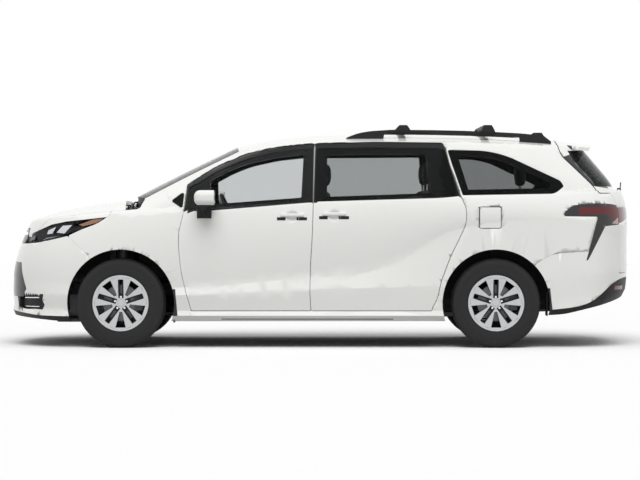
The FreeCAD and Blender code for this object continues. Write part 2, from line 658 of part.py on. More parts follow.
def fender_swing():
    """The room about the door's hinge line that the fender's rear edge takes as the door turns."""
    panel = flat(side(FENDER_SHARES), -seam / 2)
    profile = []
    for z in swing_levels:
        x = panel.common(Part.makeLine(V(front_axle, 0, z), V(along(0.2), 0, z))).BoundBox.XMax
        reach = math.hypot(x - hinge_x, skins.y_at(x, z) - hinge_y) + swing_clear
        profile.append(V(hinge_x + reach, hinge_y, z))
    curve = Part.BSplineCurve()
    curve.interpolate(profile)
    low, high = V(hinge_x, hinge_y, swing_levels[0]), V(hinge_x, hinge_y, swing_levels[-1])
    edges = [Part.makeLine(low, profile[0]), curve.toShape(), Part.makeLine(profile[-1], high),
             Part.makeLine(high, low)]
    return Part.Face(Part.Wire(edges)).revolve(V(hinge_x, hinge_y, 0), V(0, 0, 1), 360)


def front_door():
    door = hinged_panel(side(FRONT_DOOR_SHARES), door_flange, door_depth, door_frame_depth, door_step)
    door = door.cut(fender_swing())
    door, pane = glazed(door, side(FRONT_GLASS_SHARES), side(FRONT_HOLE_SHARES))
    dish, grip = handle_parts(front_handle_shares)
    door = door.cut(dish).fuse([grip] + door_hinges())
    return main_solid(door), pane


def sliding_door():
    door = hinged_panel(side(SLIDING_DOOR_SHARES), door_flange + shut_gap - rest_gap - 2.0, door_depth,
                        door_frame_depth, door_step)
    door, pane = glazed(door, side(SLIDING_GLASS_SHARES), side(SLIDING_HOLE_SHARES))
    dish, grip = handle_parts(sliding_handle_shares)
    return main_solid(door.cut(dish).fuse(grip)), pane


def body_side():
    """Pillars, sill, roof rail and rear quarter of the right side, one pressed and welded piece."""
    thick = skins.at(0.0).cut(hollow(body_depth, frame_depth))
    region = across(side(BODY_SIDE_SHARES), inner=0.3 * half_width, corner_radius=3 * seam)
    far = half_width + overrun
    keep = [box(along(0.105), along(1.151), post_inner_y, far, 0, up(0.568)),
            box(along(1.148), rear_tip, 0.693 * half_width, far, 0, up(0.568)),
            box(along(0.007), rear_tip + overrun, 0.301 * half_width, far, up(0.562), up(1.08))]
    region = region.common(keep[0].fuse(keep[1:]))
    shell = thick.common(region)
    doors = [side(FRONT_DOOR_SHARES), side(SLIDING_DOOR_SHARES)]
    shell = shell.cut([across(d, shut_gap / 2, inner=0.3 * half_width) for d in doors])
    rings = []
    for d in doors:
        band = across(d, shut_gap / 2, inner=0.3 * half_width)
        rings.append(band.common(skins.at(rebate_depth)).cut(hollow(body_depth, frame_depth)))
    openings = [across(d, -(shut_gap / 2 + door_step - door_clear), inner=0.3 * half_width) for d in doors]
    ring = rings[0].fuse(rings[1]).cut(openings)
    ring = ring.common(box(front_tip, rear_tip, post_inner_y, half_width, sill_top, roof_height).fuse(
        box(front_tip, rear_tip, 0.6 * half_width, half_width, up(0.568), roof_height)))
    post = skins.at(fender_sheet + seam).common(
        box(along(0.123), along(0.154), post_inner_y, post_outer_y, up(0.149), up(0.688)).fuse(
            box(along(0.123), along(0.19), post_inner_y, half_width, up(0.149), up(0.168))))
    side_piece = shell.fuse([ring, post])
    for z in hinge_levels:
        notch = box(hinge_x + hinge_barrel_radius + hinge_plate, along(0.174), post_outer_y + seam,
                    half_width,
                    z - 2 * hinge_arm_height, z + 2 * hinge_arm_height)
        side_piece = side_piece.cut(notch)
    side_piece = side_piece.fuse(hinge_brackets())
    cuts = [upright(plan(WINDSHIELD_PLAN_SHARES), up(0.568), 1.1 * roof_height, seam),
            across(side(GATE_UPPER_SHARES), shut_gap / 2),
            lengthwise(facing(GATE_LOWER_SHARES), along(1.282), rear_tip + overrun, shut_gap / 2),
            skins.slab(across(side(TAIL_LAMP_SHARES), seam, inner=0.6 * half_width), lamp_depth + rest_gap),
            skins.slab(across(side(REAR_BUMPER_SHARES), seam / 2, inner=0.6 * half_width),
                       bumper_wall + rest_gap),
            roof_space(shut_gap / 2),
            wheel_space(rear_axle, arch_radius, 0.5 * half_width),
            well_space(front_axle, front_well_y),
            well_space(rear_axle, rear_well_y)]
    return main_solid(side_piece.cut(cuts))


sill_top = up(0.149)
rebate_depth = 25.0
door_clear = 5.0
liner_sheet = 3.0
front_well_y = 525.0
rear_well_y = 600.0
roof_edge_y = 640.0


def roof_space(grow=0.0):
    return box(along(0.282), along(1.17) + 2 * grow, -overrun, roof_edge_y + grow, up(0.841),
               1.2 * roof_height)


def roof():
    panel = skins.at(0.0).common(roof_space()).cut(hollow(body_depth, frame_depth))
    panel = panel.cut(upright(plan(WINDSHIELD_PLAN_SHARES), up(0.568), 1.1 * roof_height, seam))
    panel = main_solid(panel.common(box(front_tip, rear_tip, 0, half_width, up(0.841), 1.1 * roof_height)))
    return roof_hinges(panel)


def grille_space(grow):
    return lengthwise(facing(GRILLE_FACE_SHARES), front_tip - overrun, along(-0.205), grow)


def hood_region(grow):
    return upright(plan(HOOD_PLAN_SHARES), up(0.455), up(0.795), grow)


def hood():
    """Hood with its two hinge arms."""
    panel = skins.slab(hood_region(-shut_gap / 2), hood_depth)
    panel = main_solid(panel.cut([across(side(FRONT_BUMPER_SHARES), shut_gap - seam / 2),
                                  grille_space(shut_gap)]))
    axis_low = V(hood_hinge_x, hood_hinge_y, hood_hinge_z)
    axis_high = V(hood_hinge_x, hood_hinge_y + hood_barrel, hood_hinge_z)
    barrel = bar(hinge_barrel_radius, axis_low, axis_high)
    arm = box(hood_hinge_x - overrun, hood_hinge_x, hood_hinge_y, hood_hinge_y + hood_barrel,
              hood_hinge_z - hinge_barrel_radius, hood_hinge_z + hinge_barrel_radius)
    hole = bar(hinge_pin_radius + pin_play, axis_low - V(0, overrun, 0), axis_high + V(0, overrun, 0))
    return main_solid(panel.fuse([barrel, arm]).cut(hole))


hood_hinge_x = along(0.014)
hood_hinge_y = 625.0
hood_hinge_z = up(0.652)
hood_barrel = 30.0


def fender():
    panel = skins.slab(across(side(FENDER_SHARES), -seam / 2, inner=0.5 * half_width), fender_sheet)
    panel = panel.cut([hood_region(shut_gap / 2),
                       upright(plan(WINDSHIELD_PLAN_SHARES), up(0.568), up(0.852), seam),
                       upright(plan(COWL_PLAN_SHARES), up(0.568), up(0.852), seam),
                       across(side(HEADLAMP_SHARES), seam / 2, inner=0.422 * half_width),
                       wheel_space(front_axle, arch_radius, 0.5 * half_width)])
    return main_solid(panel)


def front_bumper():
    panel = skins.slab(across(side(FRONT_BUMPER_SHARES), -seam / 2), bumper_wall)
    panel = panel.cut([wheel_space(front_axle, arch_radius, 0.5 * half_width),
                       well_space(front_axle, front_well_y),
                       grille_space(seam),
                       lengthwise(facing(INTAKE_FACE_SHARES), front_tip - overrun, along(-0.189), seam),
                       skins.slab(across(side(FOG_SHARES), inner=0.55 * half_width), fog_depth)])
    return main_solid(panel)


def rear_bumper():
    panel = skins.slab(across(side(REAR_BUMPER_SHARES), -seam / 2), bumper_wall)
    return main_solid(panel.cut([wheel_space(rear_axle, arch_radius, 0.5 * half_width),
                                 across(side(TAIL_LAMP_SHARES), seam, inner=0.6 * half_width),
                                 lengthwise(facing(GATE_LOWER_SHARES), along(1.282), rear_tip + overrun,
                                            shut_gap / 2),
                                 well_space(rear_axle, rear_well_y)]))


def valances():
    """The dark lower edges: front lip, sills and rear lip."""
    above = [across(side(shares), rest_gap - seam / 2)
             for shares in (FRONT_BUMPER_SHARES, REAR_BUMPER_SHARES)]
    lip = skins.slab(across(side(FRONT_LIP_SHARES)).cut(above[0]), bumper_wall)
    lip = main_solid(lip.cut([wheel_space(front_axle, arch_radius, 0.5 * half_width),
                              well_space(front_axle, front_well_y)]))
    tail = skins.slab(across(side(REAR_LIP_SHARES)).cut(above[1]), bumper_wall)
    tail = main_solid(tail.cut([wheel_space(rear_axle, arch_radius, 0.5 * half_width),
                                well_space(rear_axle, rear_well_y)]))
    region = across(side(SILL_SHARES), inner=0.823 * half_width)
    sill = skins.at(0.0).common(region.common(box(front_tip, rear_tip, 0, half_width, 0,
                                                  sill_top - rest_gap)))
    sill = sill.cut([wheel_space(front_axle, arch_radius, 0.5 * half_width),
                     well_space(front_axle, front_well_y),
                     wheel_space(rear_axle, arch_radius, 0.5 * half_width),
                     well_space(rear_axle, rear_well_y)])
    return whole(lip), whole(tail), main_solid(sill)


def headlamp():
    lamp = skins.slab(across(side(HEADLAMP_SHARES), -seam / 2, inner=0.422 * half_width), lamp_depth)
    return main_solid(lamp.cut([hood_region(shut_gap / 2), grille_space(seam)]))


def tail_lamp():
    lamp = skins.slab(across(side(TAIL_LAMP_SHARES), 0.0, inner=0.693 * half_width), lamp_depth)
    return main_solid(lamp.cut(lengthwise(facing(GATE_LOWER_SHARES), along(1.282), rear_tip + overrun,
                                          shut_gap / 2)))


fog_depth = 26.0
grille_wall = 34.0
slat_pitch = 44.0
slat_slot = 26.0


def grille():
    """Upper grille and lower intake, each a surround crossed by slats."""
    pieces = []
    for outline, slots in ((GRILLE_FACE_SHARES, 2), (INTAKE_FACE_SHARES, 5)):
        face = lengthwise(facing(outline), front_tip - overrun, along(-0.189))
        block = main_solid(skins.slab(face, grille_wall))
        bounds = block.BoundBox
        middle = (bounds.ZMin + bounds.ZMax) / 2
        for i in range(slots):
            z = middle + (i - (slots - 1) / 2) * slat_pitch
            window = lengthwise(facing(outline), front_tip - overrun, along(-0.189), -slat_slot)
            slot = box(front_tip - overrun, along(-0.189), 0, half_width, z - slat_slot / 2,
                       z + slat_slot / 2)
            block = block.cut(window.common(slot))
        pieces.append(whole(block))
    return Part.makeCompound([main_solid(p) for p in pieces])


cowl_top = 56.0
cowl_sheet = 18.0
plenum_sheet = 20.0


def cowl():
    """Sunken panel between hood and windshield, with the upstand that the glass rests on."""
    low = lower_body(cowl_top, 0.0, cowl_top)
    under = lower_body(cowl_top + cowl_sheet, 0.0, cowl_top + cowl_sheet)
    plate = low.common(upright(plan(COWL_PLAN_SHARES), up(0.455), up(0.795))).cut(under)
    band = upright(plan(COWL_BAND_SHARES), up(0.455), up(0.795))
    upstand = skins.at(glass_thickness + rest_gap).common(band).cut(under)
    ears = []
    start = hood_hinge_y - rest_gap - hinge_plate
    for y in (start, hood_hinge_y + hood_barrel + rest_gap):
        ears.append(bar(hinge_barrel_radius, V(hood_hinge_x, y, hood_hinge_z),
                        V(hood_hinge_x, y + hinge_plate, hood_hinge_z)))
        ears.append(box(hood_hinge_x - hinge_barrel_radius, hood_hinge_x + hinge_barrel_radius, y,
                        y + hinge_plate,
                        hood_hinge_z - overrun, hood_hinge_z).cut(under))
    pin = bar(hinge_pin_radius, V(hood_hinge_x, start, hood_hinge_z),
              V(hood_hinge_x, hood_hinge_y + hood_barrel + hinge_plate, hood_hinge_z))
    return main_solid(plate.fuse([upstand, pin] + ears))


def plenum():
    """Shelf behind the firewall's top that carries the cowl."""
    top = cowl_top + cowl_sheet + rest_gap
    shelf = lower_body(top, 0.0, top).cut(lower_body(top + plenum_sheet, 0.0, top + plenum_sheet))
    return shelf.common(box(along(-0.011), firewall_x + pan_sheet, 0, post_inner_y - seam, up(0.455),
                            up(0.739)))


def windshield():
    return main_solid(skins.slab(upright(plan(WINDSHIELD_PLAN_SHARES), up(0.625), 1.1 * roof_height),
                                 glass_thickness))


gate_hinge_x = along(1.173)
gate_hinge_z = up(0.965)
spoiler_depth = 28.0
gate_hinge_ys = (170.0, 330.0)
gate_barrel_radius = 8.0
gate_pin_radius = 4.0
gate_barrel = 30.0


def along_y(radius, y0, y1):
    """A round bar on the tailgate's hinge line."""
    return bar(radius, V(gate_hinge_x, y0, gate_hinge_z), V(gate_hinge_x, y1, gate_hinge_z))


def roof_hinges(panel):
    """The roof with the ears and pins that carry the tailgate."""
    reach = gate_barrel_radius + door_clear
    for y in gate_hinge_ys:
        panel = panel.cut(along_y(reach, y - rest_gap, y + gate_barrel + rest_gap))
        for start in (y - rest_gap - hinge_plate, y + gate_barrel + rest_gap):
            ear = box(gate_hinge_x - reach - hinge_plate, gate_hinge_x, start, start + hinge_plate,
                      gate_hinge_z - gate_barrel_radius, gate_hinge_z)
            panel = panel.fuse([along_y(gate_barrel_radius, start, start + hinge_plate), ear])
        panel = panel.fuse(along_y(gate_pin_radius, y - rest_gap - hinge_plate,
                                   y + gate_barrel + rest_gap + hinge_plate))
    return main_solid(panel)


def gate_hinges(panel):
    """The tailgate with its hinge barrels."""
    reach = gate_barrel_radius + door_clear
    for y in gate_hinge_ys:
        panel = panel.cut(along_y(reach, y - 2 * hinge_plate, y + gate_barrel + 2 * hinge_plate))
        arm = box(gate_hinge_x, gate_hinge_x + reach + hinge_plate, y, y + gate_barrel,
                  gate_hinge_z - gate_barrel_radius, gate_hinge_z)
        panel = panel.fuse([along_y(gate_barrel_radius, y, y + gate_barrel), arm])
        panel = panel.cut(along_y(gate_pin_radius + pin_play, y - overrun, y + gate_barrel + overrun))
    return main_solid(panel)



def tailgate():
    upper = across(side(GATE_UPPER_SHARES), -shut_gap / 2)
    lower = lengthwise(facing(GATE_LOWER_SHARES), along(1.282), rear_tip + overrun, -shut_gap / 2)
    panel = main_solid(skins.at(0.0).common(upper.fuse(lower)).cut(hollow(body_depth, frame_depth)))
    crown = top_tool(ROOF_CENTRE_SHARES, lambda share: roof_drop, roof_half, roof_crown_power, spoiler_depth)
    crown = crown.cut(top_tool(ROOF_CENTRE_SHARES, lambda share: roof_drop, roof_half, roof_crown_power,
                               0.0))
    spoiler = crown.common(upright(plan(SPOILER_PLAN_SHARES), up(0.795), roof_height))
    panel = panel.fuse(main_solid(spoiler))
    region = lengthwise(facing(REAR_GLASS_SHARES), along(1.2), rear_tip + overrun)
    seat = lengthwise(facing(REAR_GLASS_SHARES), along(1.2), rear_tip + overrun, rest_gap)
    panel = panel.cut(skins.slab(seat, glass_thickness + rest_gap).cut(spoiler))
    panel = panel.cut(lengthwise(facing(REAR_HOLE_SHARES), along(1.2), rear_tip + overrun))
    pane = main_solid(skins.slab(region, glass_thickness).cut(spoiler_block()))
    lamp_seat = gate_lamp_region(rest_gap)
    panel = panel.cut(skins.slab(lamp_seat, bumper_wall + rest_gap))
    return gate_hinges(main_solid(panel)), pane


def spoiler_block():
    """The spoiler grown by the glass's resting gap."""
    crown = top_tool(ROOF_CENTRE_SHARES, lambda share: roof_drop, roof_half, roof_crown_power,
                     spoiler_depth + rest_gap)
    return crown.common(upright(plan(SPOILER_PLAN_SHARES), up(0.795), 1.2 * roof_height, rest_gap))


def gate_lamp_region(grow=0.0):
    return lengthwise(facing(GATE_LAMP_SHARES), along(1.282), rear_tip + overrun, grow)


def gate_lamp():
    return main_solid(skins.slab(gate_lamp_region().common(
        box(front_tip, rear_tip + overrun, 0, gate_half - shut_gap / 2, 0, roof_height)), bumper_wall))



# Wheels
tread_width = 196.0
tyre_bead = 229.0
rim_barrel_outer = 228.0
rim_barrel_inner = 214.0
rim_width = 214.0
spoke_face_out = 62.0
spoke_thickness = 26.0
hub_radius = 62.0
hub_bore = 30.0
hub_bore_depth = 74.0
disc_radius = 150.0
disc_thickness = 24.0
disc_in = 22.0
pocket_count = 5


def spun(points, centre):
    """A profile of (radius, outward distance) points turned about a wheel's axle."""
    wire = Part.makePolygon([V(r, y, 0) for r, y in points + points[:1]])
    solid = Part.Face(wire).revolve(V(0, 0, 0), V(0, 1, 0), 360)
    solid.translate(centre)
    return solid


def wheel_centre(axle):
    return V(axle, half_track, tyre_radius)


def tyre(axle):
    """Tyre with rounded shoulders and bulging walls."""
    half, tread = tyre_width / 2, tread_width / 2
    wall = tyre_radius - tyre_bead
    right = [(tyre_bead, 0.86), (tyre_bead + 0.12 * wall, 0.91), (tyre_bead + 0.45 * wall, 1.0),
             (tyre_bead + 0.72 * wall, 0.975), (tyre_bead + 0.9 * wall, 0.93)]
    points = [(r, half * share) for r, share in right] + [(tyre_radius - 0.03 * wall, tread),
              (tyre_radius, 0.8 * tread)]
    points = points + [(r, -y) for r, y in reversed(points)]
    return spun(points, wheel_centre(axle))


def rim(axle):
    """Alloy wheel with its brake disc and hub: tapered pockets between ten blades, slots at the nuts."""
    centre = wheel_centre(axle)
    half = rim_width / 2
    lip = tyre_bead - rim_barrel_outer
    barrel = spun([(rim_barrel_inner, -half), (tyre_bead - seam, -half), (tyre_bead - seam, half),
                   (rim_barrel_inner, half)], centre)
    dish = 0.35 * spoke_thickness
    face = spun([(0, spoke_face_out - dish), (hub_radius, spoke_face_out - dish),
                 (rim_barrel_inner + lip, half - lip),
                 (rim_barrel_inner + lip, half - spoke_thickness),
                 (hub_radius, spoke_face_out - spoke_thickness - dish),
                 (0, spoke_face_out - spoke_thickness - dish)],
                centre)
    cuts = []
    for k in range(pocket_count):
        step = 360 / pocket_count
        wide = [(0.34, 0.16), (0.34, -0.16), (0.93, -0.36), (0.93, 0.36)]
        wire = rounded([(a * rim_barrel_inner, b * rim_barrel_inner) for a, b in wide],
                       0.07 * rim_barrel_inner,
                       0.07 * rim_barrel_inner)
        pocket = Part.Face(wire).extrude(V(0, tyre_width, 0))
        pocket.rotate(V(0, 0, 0), V(0, 1, 0), k * step - 90 + step / 2)
        slot = rounded([(0.36 * rim_barrel_inner, 0.045 * rim_barrel_inner),
                        (0.36 * rim_barrel_inner, -0.045 * rim_barrel_inner),
                        (0.9 * rim_barrel_inner, -0.06 * rim_barrel_inner),
                        (0.9 * rim_barrel_inner, 0.06 * rim_barrel_inner)],
                       0.03 * rim_barrel_inner, 0.03 * rim_barrel_inner)
        slot = Part.Face(slot).extrude(V(0, tyre_width, 0))
        slot.rotate(V(0, 0, 0), V(0, 1, 0), k * step - 90)
        for cut in (pocket, slot):
            cut.translate(centre)
            cuts.append(cut)
    face = face.cut(cuts)
    hub = spun([(0, disc_in - disc_thickness), (hub_radius, disc_in - disc_thickness),
                (hub_radius, spoke_face_out - dish),
                (0, spoke_face_out - dish)], centre)
    disc = spun([(0, disc_in - disc_thickness), (disc_radius, disc_in - disc_thickness),
                 (disc_radius, disc_in), (0, disc_in)],
                centre)
    bore = Part.makeCylinder(hub_bore + pin_play, hub_bore_depth,
                             centre + V(0, disc_in - disc_thickness, 0), V(0, 1, 0))
    return main_solid(barrel.fuse([face, hub, disc]).cut(bore))


spindle_tip_out = 40.0
upright_out = -24.0
upright_in = -62.0
kingpin_y = 805.0
ball_radius = 14.0
ball_z = 205.0
caliper_clear = 5.0


def hub_carrier(axle):
    """Spindle and caliper: what a wheel turns on."""
    centre = wheel_centre(axle)
    spindle = Part.makeCylinder(hub_bore, spindle_tip_out - upright_in, centre + V(0, upright_in, 0),
                                V(0, 1, 0))
    plate = Part.makeCylinder(1.6 * hub_bore, upright_out - upright_in, centre + V(0, upright_in, 0),
                              V(0, 1, 0))
    grip_low, grip_high = disc_in - disc_thickness - caliper_clear, disc_in + caliper_clear
    jaw = 14.0
    caliper = box(centre.x + 0.75 * disc_radius, centre.x + 1.18 * disc_radius, centre.y + grip_low - jaw,
                  centre.y + grip_high + jaw * 0.6, centre.z - 0.4 * disc_radius,
                  centre.z + 0.4 * disc_radius)
    slot = Part.makeCylinder(disc_radius + caliper_clear, grip_high - grip_low, centre + V(0, grip_low, 0),
                             V(0, 1, 0))
    bracket = box(centre.x, centre.x + 0.9 * disc_radius, centre.y + upright_in, centre.y + grip_low,
                  centre.z - hub_bore, centre.z + hub_bore)
    shape = spindle.fuse([plate, bracket, caliper.cut(slot)])
    return shape


def knuckle():
    """Right front knuckle: hub carrier with the ball joint below it."""
    shape = hub_carrier(front_axle)
    ball = bar(ball_radius, V(front_axle, kingpin_y, ball_z - ball_radius),
               V(front_axle, kingpin_y, tyre_radius))
    return main_solid(shape.fuse(ball))


arm_thickness = 26.0
subframe_half = 480.0
cradle_front = 560.0
cradle_rear = 150.0
rail_inner_y = 430.0
rail_outer_y = 500.0
rail_low_z = up(0.239)
rail_high_z = up(0.295)
strut_y = 680.0
strut_radius = 42.0
tower_z = up(0.494)
tower_half = 70.0
spring_low = tyre_radius + 120.0
spring_high_drop = 60.0


def front_suspension():
    """Subframe, lower arms and spring struts."""
    cradle = box(front_axle - cradle_front, front_axle + cradle_rear, 0, subframe_half,
                 ball_z - arm_thickness / 2,
                 ball_z + arm_thickness)
    legs = [box(x, x + overrun, rail_inner_y, subframe_half, ball_z, rail_low_z - rest_gap)
            for x in (front_axle - cradle_front, front_axle + cradle_rear - overrun)]
    arm = box(front_axle - 1.1 * arm_thickness, front_axle + 1.1 * arm_thickness, 0.9 * subframe_half,
              kingpin_y,
              ball_z - arm_thickness / 2, ball_z + arm_thickness / 2)
    eye = bar(1.1 * arm_thickness, V(front_axle, kingpin_y, ball_z - arm_thickness / 2),
              V(front_axle, kingpin_y, ball_z + arm_thickness / 2))
    hole = bar(ball_radius + pin_play, V(front_axle, kingpin_y, 0), V(front_axle, kingpin_y, tyre_radius))
    strut = bar(0.5 * strut_radius, V(front_axle, strut_y, ball_z), V(front_axle, strut_y, tower_z))
    spring = bar(strut_radius, V(front_axle, strut_y, spring_low),
                 V(front_axle, strut_y, tower_z - spring_high_drop))
    return main_solid(whole(cradle.fuse([arm, eye, strut, spring] + legs).cut(hole)))


beam_radius = 38.0
rear_spring_y = 470.0
trail_reach = 560.0
trail_half = 30.0
trail_low_z = up(0.136)
trail_high_z = up(0.156)
raised_floor_z = up(0.307)
tail_floor_z = up(0.257)
riser_x = along(0.883)
well_x = along(1.105)
ramp_x = along(1.223)
rear_panel_x = along(1.328)
rear_panel_top = up(0.335)


def rear_suspension():
    """Rear beam with trailing arms, springs and the hub carriers."""
    beam = bar(beam_radius, V(rear_axle, 0, tyre_radius),
               V(rear_axle, half_track + upright_in + seam, tyre_radius))
    y0, y1 = rear_spring_y - trail_half, rear_spring_y + trail_half
    front = rear_axle - trail_reach
    mount = box(front, front + 2 * trail_half, y0, y1, trail_low_z, floor_z - pan_sheet - rest_gap)
    arm = box(front, rear_axle + trail_half, y0, y1, trail_low_z, trail_high_z)
    riser = box(rear_axle - trail_half, rear_axle + trail_half, y0, y1, trail_low_z, tyre_radius)
    spring = bar(strut_radius, V(rear_axle, rear_spring_y, tyre_radius),
                 V(rear_axle, rear_spring_y, raised_floor_z - pan_sheet - rest_gap))
    half = beam.fuse([mount, arm, riser, spring, hub_carrier(rear_axle)])
    return main_solid(whole(half))


def floor_line(step):
    """Side-view line of the floor's underside, or of its top when stepped in by the sheet."""
    return [(firewall_x + pan_sheet + rest_gap, floor_z - pan_sheet + step),
            (riser_x - step, floor_z - pan_sheet + step),
            (riser_x - step, raised_floor_z - pan_sheet + step), (well_x + step,
                                                                  raised_floor_z - pan_sheet + step),
            (well_x + step, floor_z - pan_sheet + step), (ramp_x, floor_z - pan_sheet + step),
            (ramp_x + 3 * overrun, tail_floor_z - pan_sheet + step),
            (rear_panel_x - step, tail_floor_z - pan_sheet + step), (rear_panel_x - step, rear_panel_top)]


def floor_pan():
    """Floor with the raised rear part, the cargo well and the rear sill."""
    outline = floor_line(0.0) + floor_line(pan_sheet)[::-1]
    pan = across(outline, outer=post_inner_y - seam, corner_radius=2 * seam, bend_radius=2 * seam)
    pan = pan.cut([well_space(rear_axle, rear_well_y), well_space(front_axle, front_well_y)])
    return main_solid(whole(pan.common(skins.at(bumper_wall + rest_gap))))


def front_frame():
    """Firewall with the cowl's shelf, and the front rails with their beam and spring towers."""
    wall = box(firewall_x, firewall_x + pan_sheet, 0, post_inner_y - seam, floor_z - pan_sheet, up(0.63))
    wall = wall.cut(well_space(front_axle, front_well_y))
    frame = skins.at(bumper_wall + rest_gap)
    rail = box(along(-0.287), firewall_x + seam, rail_inner_y, rail_outer_y, rail_low_z,
               rail_high_z).common(frame)
    beam = box(along(-0.293), along(-0.272), 0, rail_outer_y, rail_low_z, rail_high_z).common(frame)
    tower = box(front_axle - tower_half, front_axle + tower_half, rail_inner_y, strut_y + overrun,
                tower_z + rest_gap,
                tower_z + 2 * pan_sheet)
    leg = box(front_axle - tower_half, front_axle + tower_half, rail_inner_y, rail_outer_y, rail_low_z,
              tower_z + 2 * pan_sheet)
    return main_solid(whole(wall.fuse([rail, beam, tower, leg, plenum()])))


def wheel_liners():
    """Arched liners over the four wheels."""
    pieces = []
    skin_inside = skins.at(fender_sheet + rest_gap)
    for axle, inner in ((front_axle, front_well_y), (rear_axle, rear_well_y)):
        liner = wheel_space(axle, well_radius + liner_sheet,
                            inner - liner_sheet).cut(wheel_space(axle, well_radius, inner))
        liner = liner.cut(box(axle - 2 * well_radius, axle + 2 * well_radius, 0, half_width, 0, up(0.17)))
        if axle == front_axle:
            tall = box(axle - 2 * overrun, axle + 2 * overrun, 0, strut_y + 2 * overrun, 0, roof_height)
            low = box(axle - 2 * well_radius, axle + 2 * well_radius, 0, 0.562 * half_width, 0, up(0.318))
            liner = liner.cut([tall, low])
        else:
            liner = liner.cut(box(axle - overrun, axle + overrun, 0, 0.8 * half_width, 0,
                                  tyre_radius + overrun))
        pieces.append(main_solid(liner.common(skin_inside)))
    return Part.makeCompound([s for p in pieces for s in both(p).Solids])


def engine():
    return box(along(-0.182), along(-0.025), -0.397 * half_width, 0.397 * half_width,
               ball_z + arm_thickness + rest_gap, up(0.489))


exhaust_pipe = 24.0
pipe_bend = 26.0
silencer_radius = 46.0
hanger_depth = 30.0


def exhaust():
    """Pipe and rear silencer hung under the floor."""
    y, z = 0.25 * half_width, up(0.134)
    high, tail_z = up(0.157), up(0.215)
    path = [V(along(0.073), y, z), V(along(0.759), y, z), V(along(0.857), 0.3 * y, z),
            V(along(1.066), 0.3 * y, z), V(along(1.118), 0.3 * y, high), V(along(1.233), 1.4 * y, high),
            V(along(1.298), 1.6 * y, tail_z)]
    pipe = [bar(exhaust_pipe, a, b) for a, b in zip(path, path[1:])]
    bends = [Part.makeSphere(pipe_bend, p) for p in path[1:-1]]
    silencer = bar(silencer_radius, V(along(1.298), 0.8 * y, tail_z), V(along(1.298), 2.4 * y, tail_z))
    tail = bar(exhaust_pipe, V(along(1.298), 2.2 * y, tail_z), V(along(1.318), 2.2 * y, up(0.199)))
    hangers = [box(x, x + hanger_depth, y - hanger_depth / 2, y + hanger_depth / 2, z,
                   floor_z - pan_sheet - rest_gap)
               for x in (along(0.236), along(0.628))]
    hangers.append(box(along(1.298) - hanger_depth, along(1.298) + hanger_depth, 1.2 * y, 1.8 * y, tail_z,
                       tail_floor_z - pan_sheet - rest_gap))
    return main_solid(pipe[0].fuse(pipe[1:] + bends + [silencer, tail] + hangers))


seat_width = 500.0
seat_depth = 500.0
base_inset = 60.0
cushion_thickness = 140.0
cushion_round = 35.0
back_thickness = 130.0
back_round = 30.0
recline_shares = 0.24
headrest_size = (90.0, 250.0, 190.0)
headrest_lift = 30.0
headrest_setback = 10.0
headrest_post = 7.0
post_half_gap = 70.0
post_overlap = 40.0
bench_width = 1130.0


def seat(front_x, y, width, cushion_top, back_top, floor):
    """One seat: base, cushion, reclined back and headrest."""
    half = width / 2
    low = cushion_top - cushion_thickness
    base = box(front_x + base_inset, front_x + seat_depth - base_inset, y - 0.8 * half, y + 0.8 * half,
               floor, low)
    cushion = box(front_x, front_x + seat_depth, y - half, y + half, low, cushion_top)
    cushion = cushion.makeFillet(cushion_round, cushion.Edges)
    x0, z0 = front_x + seat_depth - 0.8 * back_thickness, low + cushion_thickness / 2
    lean = (back_top - z0) * recline_shares
    profile = Part.makePolygon([V(x0, y - half, z0), V(x0 + back_thickness, y - half, z0),
                                V(x0 + 0.8 * back_thickness + lean, y - half, back_top),
                                V(x0 + lean, y - half, back_top), V(x0, y - half, z0)])
    back = Part.Face(profile).extrude(V(0, width, 0))
    back = back.makeFillet(back_round, back.Edges)
    deep, wide, tall = headrest_size
    rest_x, rest_z = x0 + lean + headrest_setback, back_top + headrest_lift
    rest = box(rest_x, rest_x + deep, y - wide / 2, y + wide / 2, rest_z, rest_z + tall)
    rest = rest.makeFillet(back_round, rest.Edges)
    post_x = rest_x + deep / 2
    posts = [bar(headrest_post, V(post_x, y + side_y, back_top - post_overlap),
                 V(post_x, y + side_y, rest_z + headrest_lift))
             for side_y in (-post_half_gap, post_half_gap)]
    return main_solid(base.fuse([cushion, back, rest] + posts))


front_seat_y = 400.0


def front_seats():
    return both(seat(along(0.347), front_seat_y, seat_width, up(0.398), up(0.733), floor_z + rest_gap))


def rear_seats():
    middle = both(seat(along(0.625), front_seat_y, seat_width, up(0.409), up(0.739), floor_z + rest_gap))
    back = seat(along(0.893), 0.0, bench_width, up(0.438), up(0.733), raised_floor_z + rest_gap)
    return Part.makeCompound(middle.Solids + [back])


def dashboard():
    """Dashboard with the steering column's shroud."""
    edge = post_inner_y - seam
    block = across(side(DASH_SHARES), inner=-edge, outer=edge)
    block = block.cut(box(front_tip, firewall_x + pan_sheet + rest_gap, -edge, edge, 0, roof_height))
    start = wheel_point(column_length)
    shroud = bar(shroud_radius, wheel_point(shroud_start), start)
    shaft = bar(shaft_radius + pin_play, wheel_point(0), wheel_point(column_length))
    return main_solid(block.fuse(shroud).cut(shaft))


steering_y = -front_seat_y
steering_radius = 185.0
steering_grip = 15.0
shaft_radius = 16.0
shroud_radius = 42.0
shroud_start = 60.0
column_length = 330.0
steering_axis = V(-0.9, 0, -0.436)
wheel_hub_radius = 62.0
wheel_hub_depth = 34.0
wheel_hub_back = 10.0
spoke_start = 40.0
spoke_set = 8.0
shaft_gap = 40.0


def wheel_point(distance):
    """A point on the steering column's line, ahead of the wheel's centre."""
    axis = V(steering_axis)
    axis.normalize()
    return V(along(0.288), steering_y, up(0.614)) + axis * distance


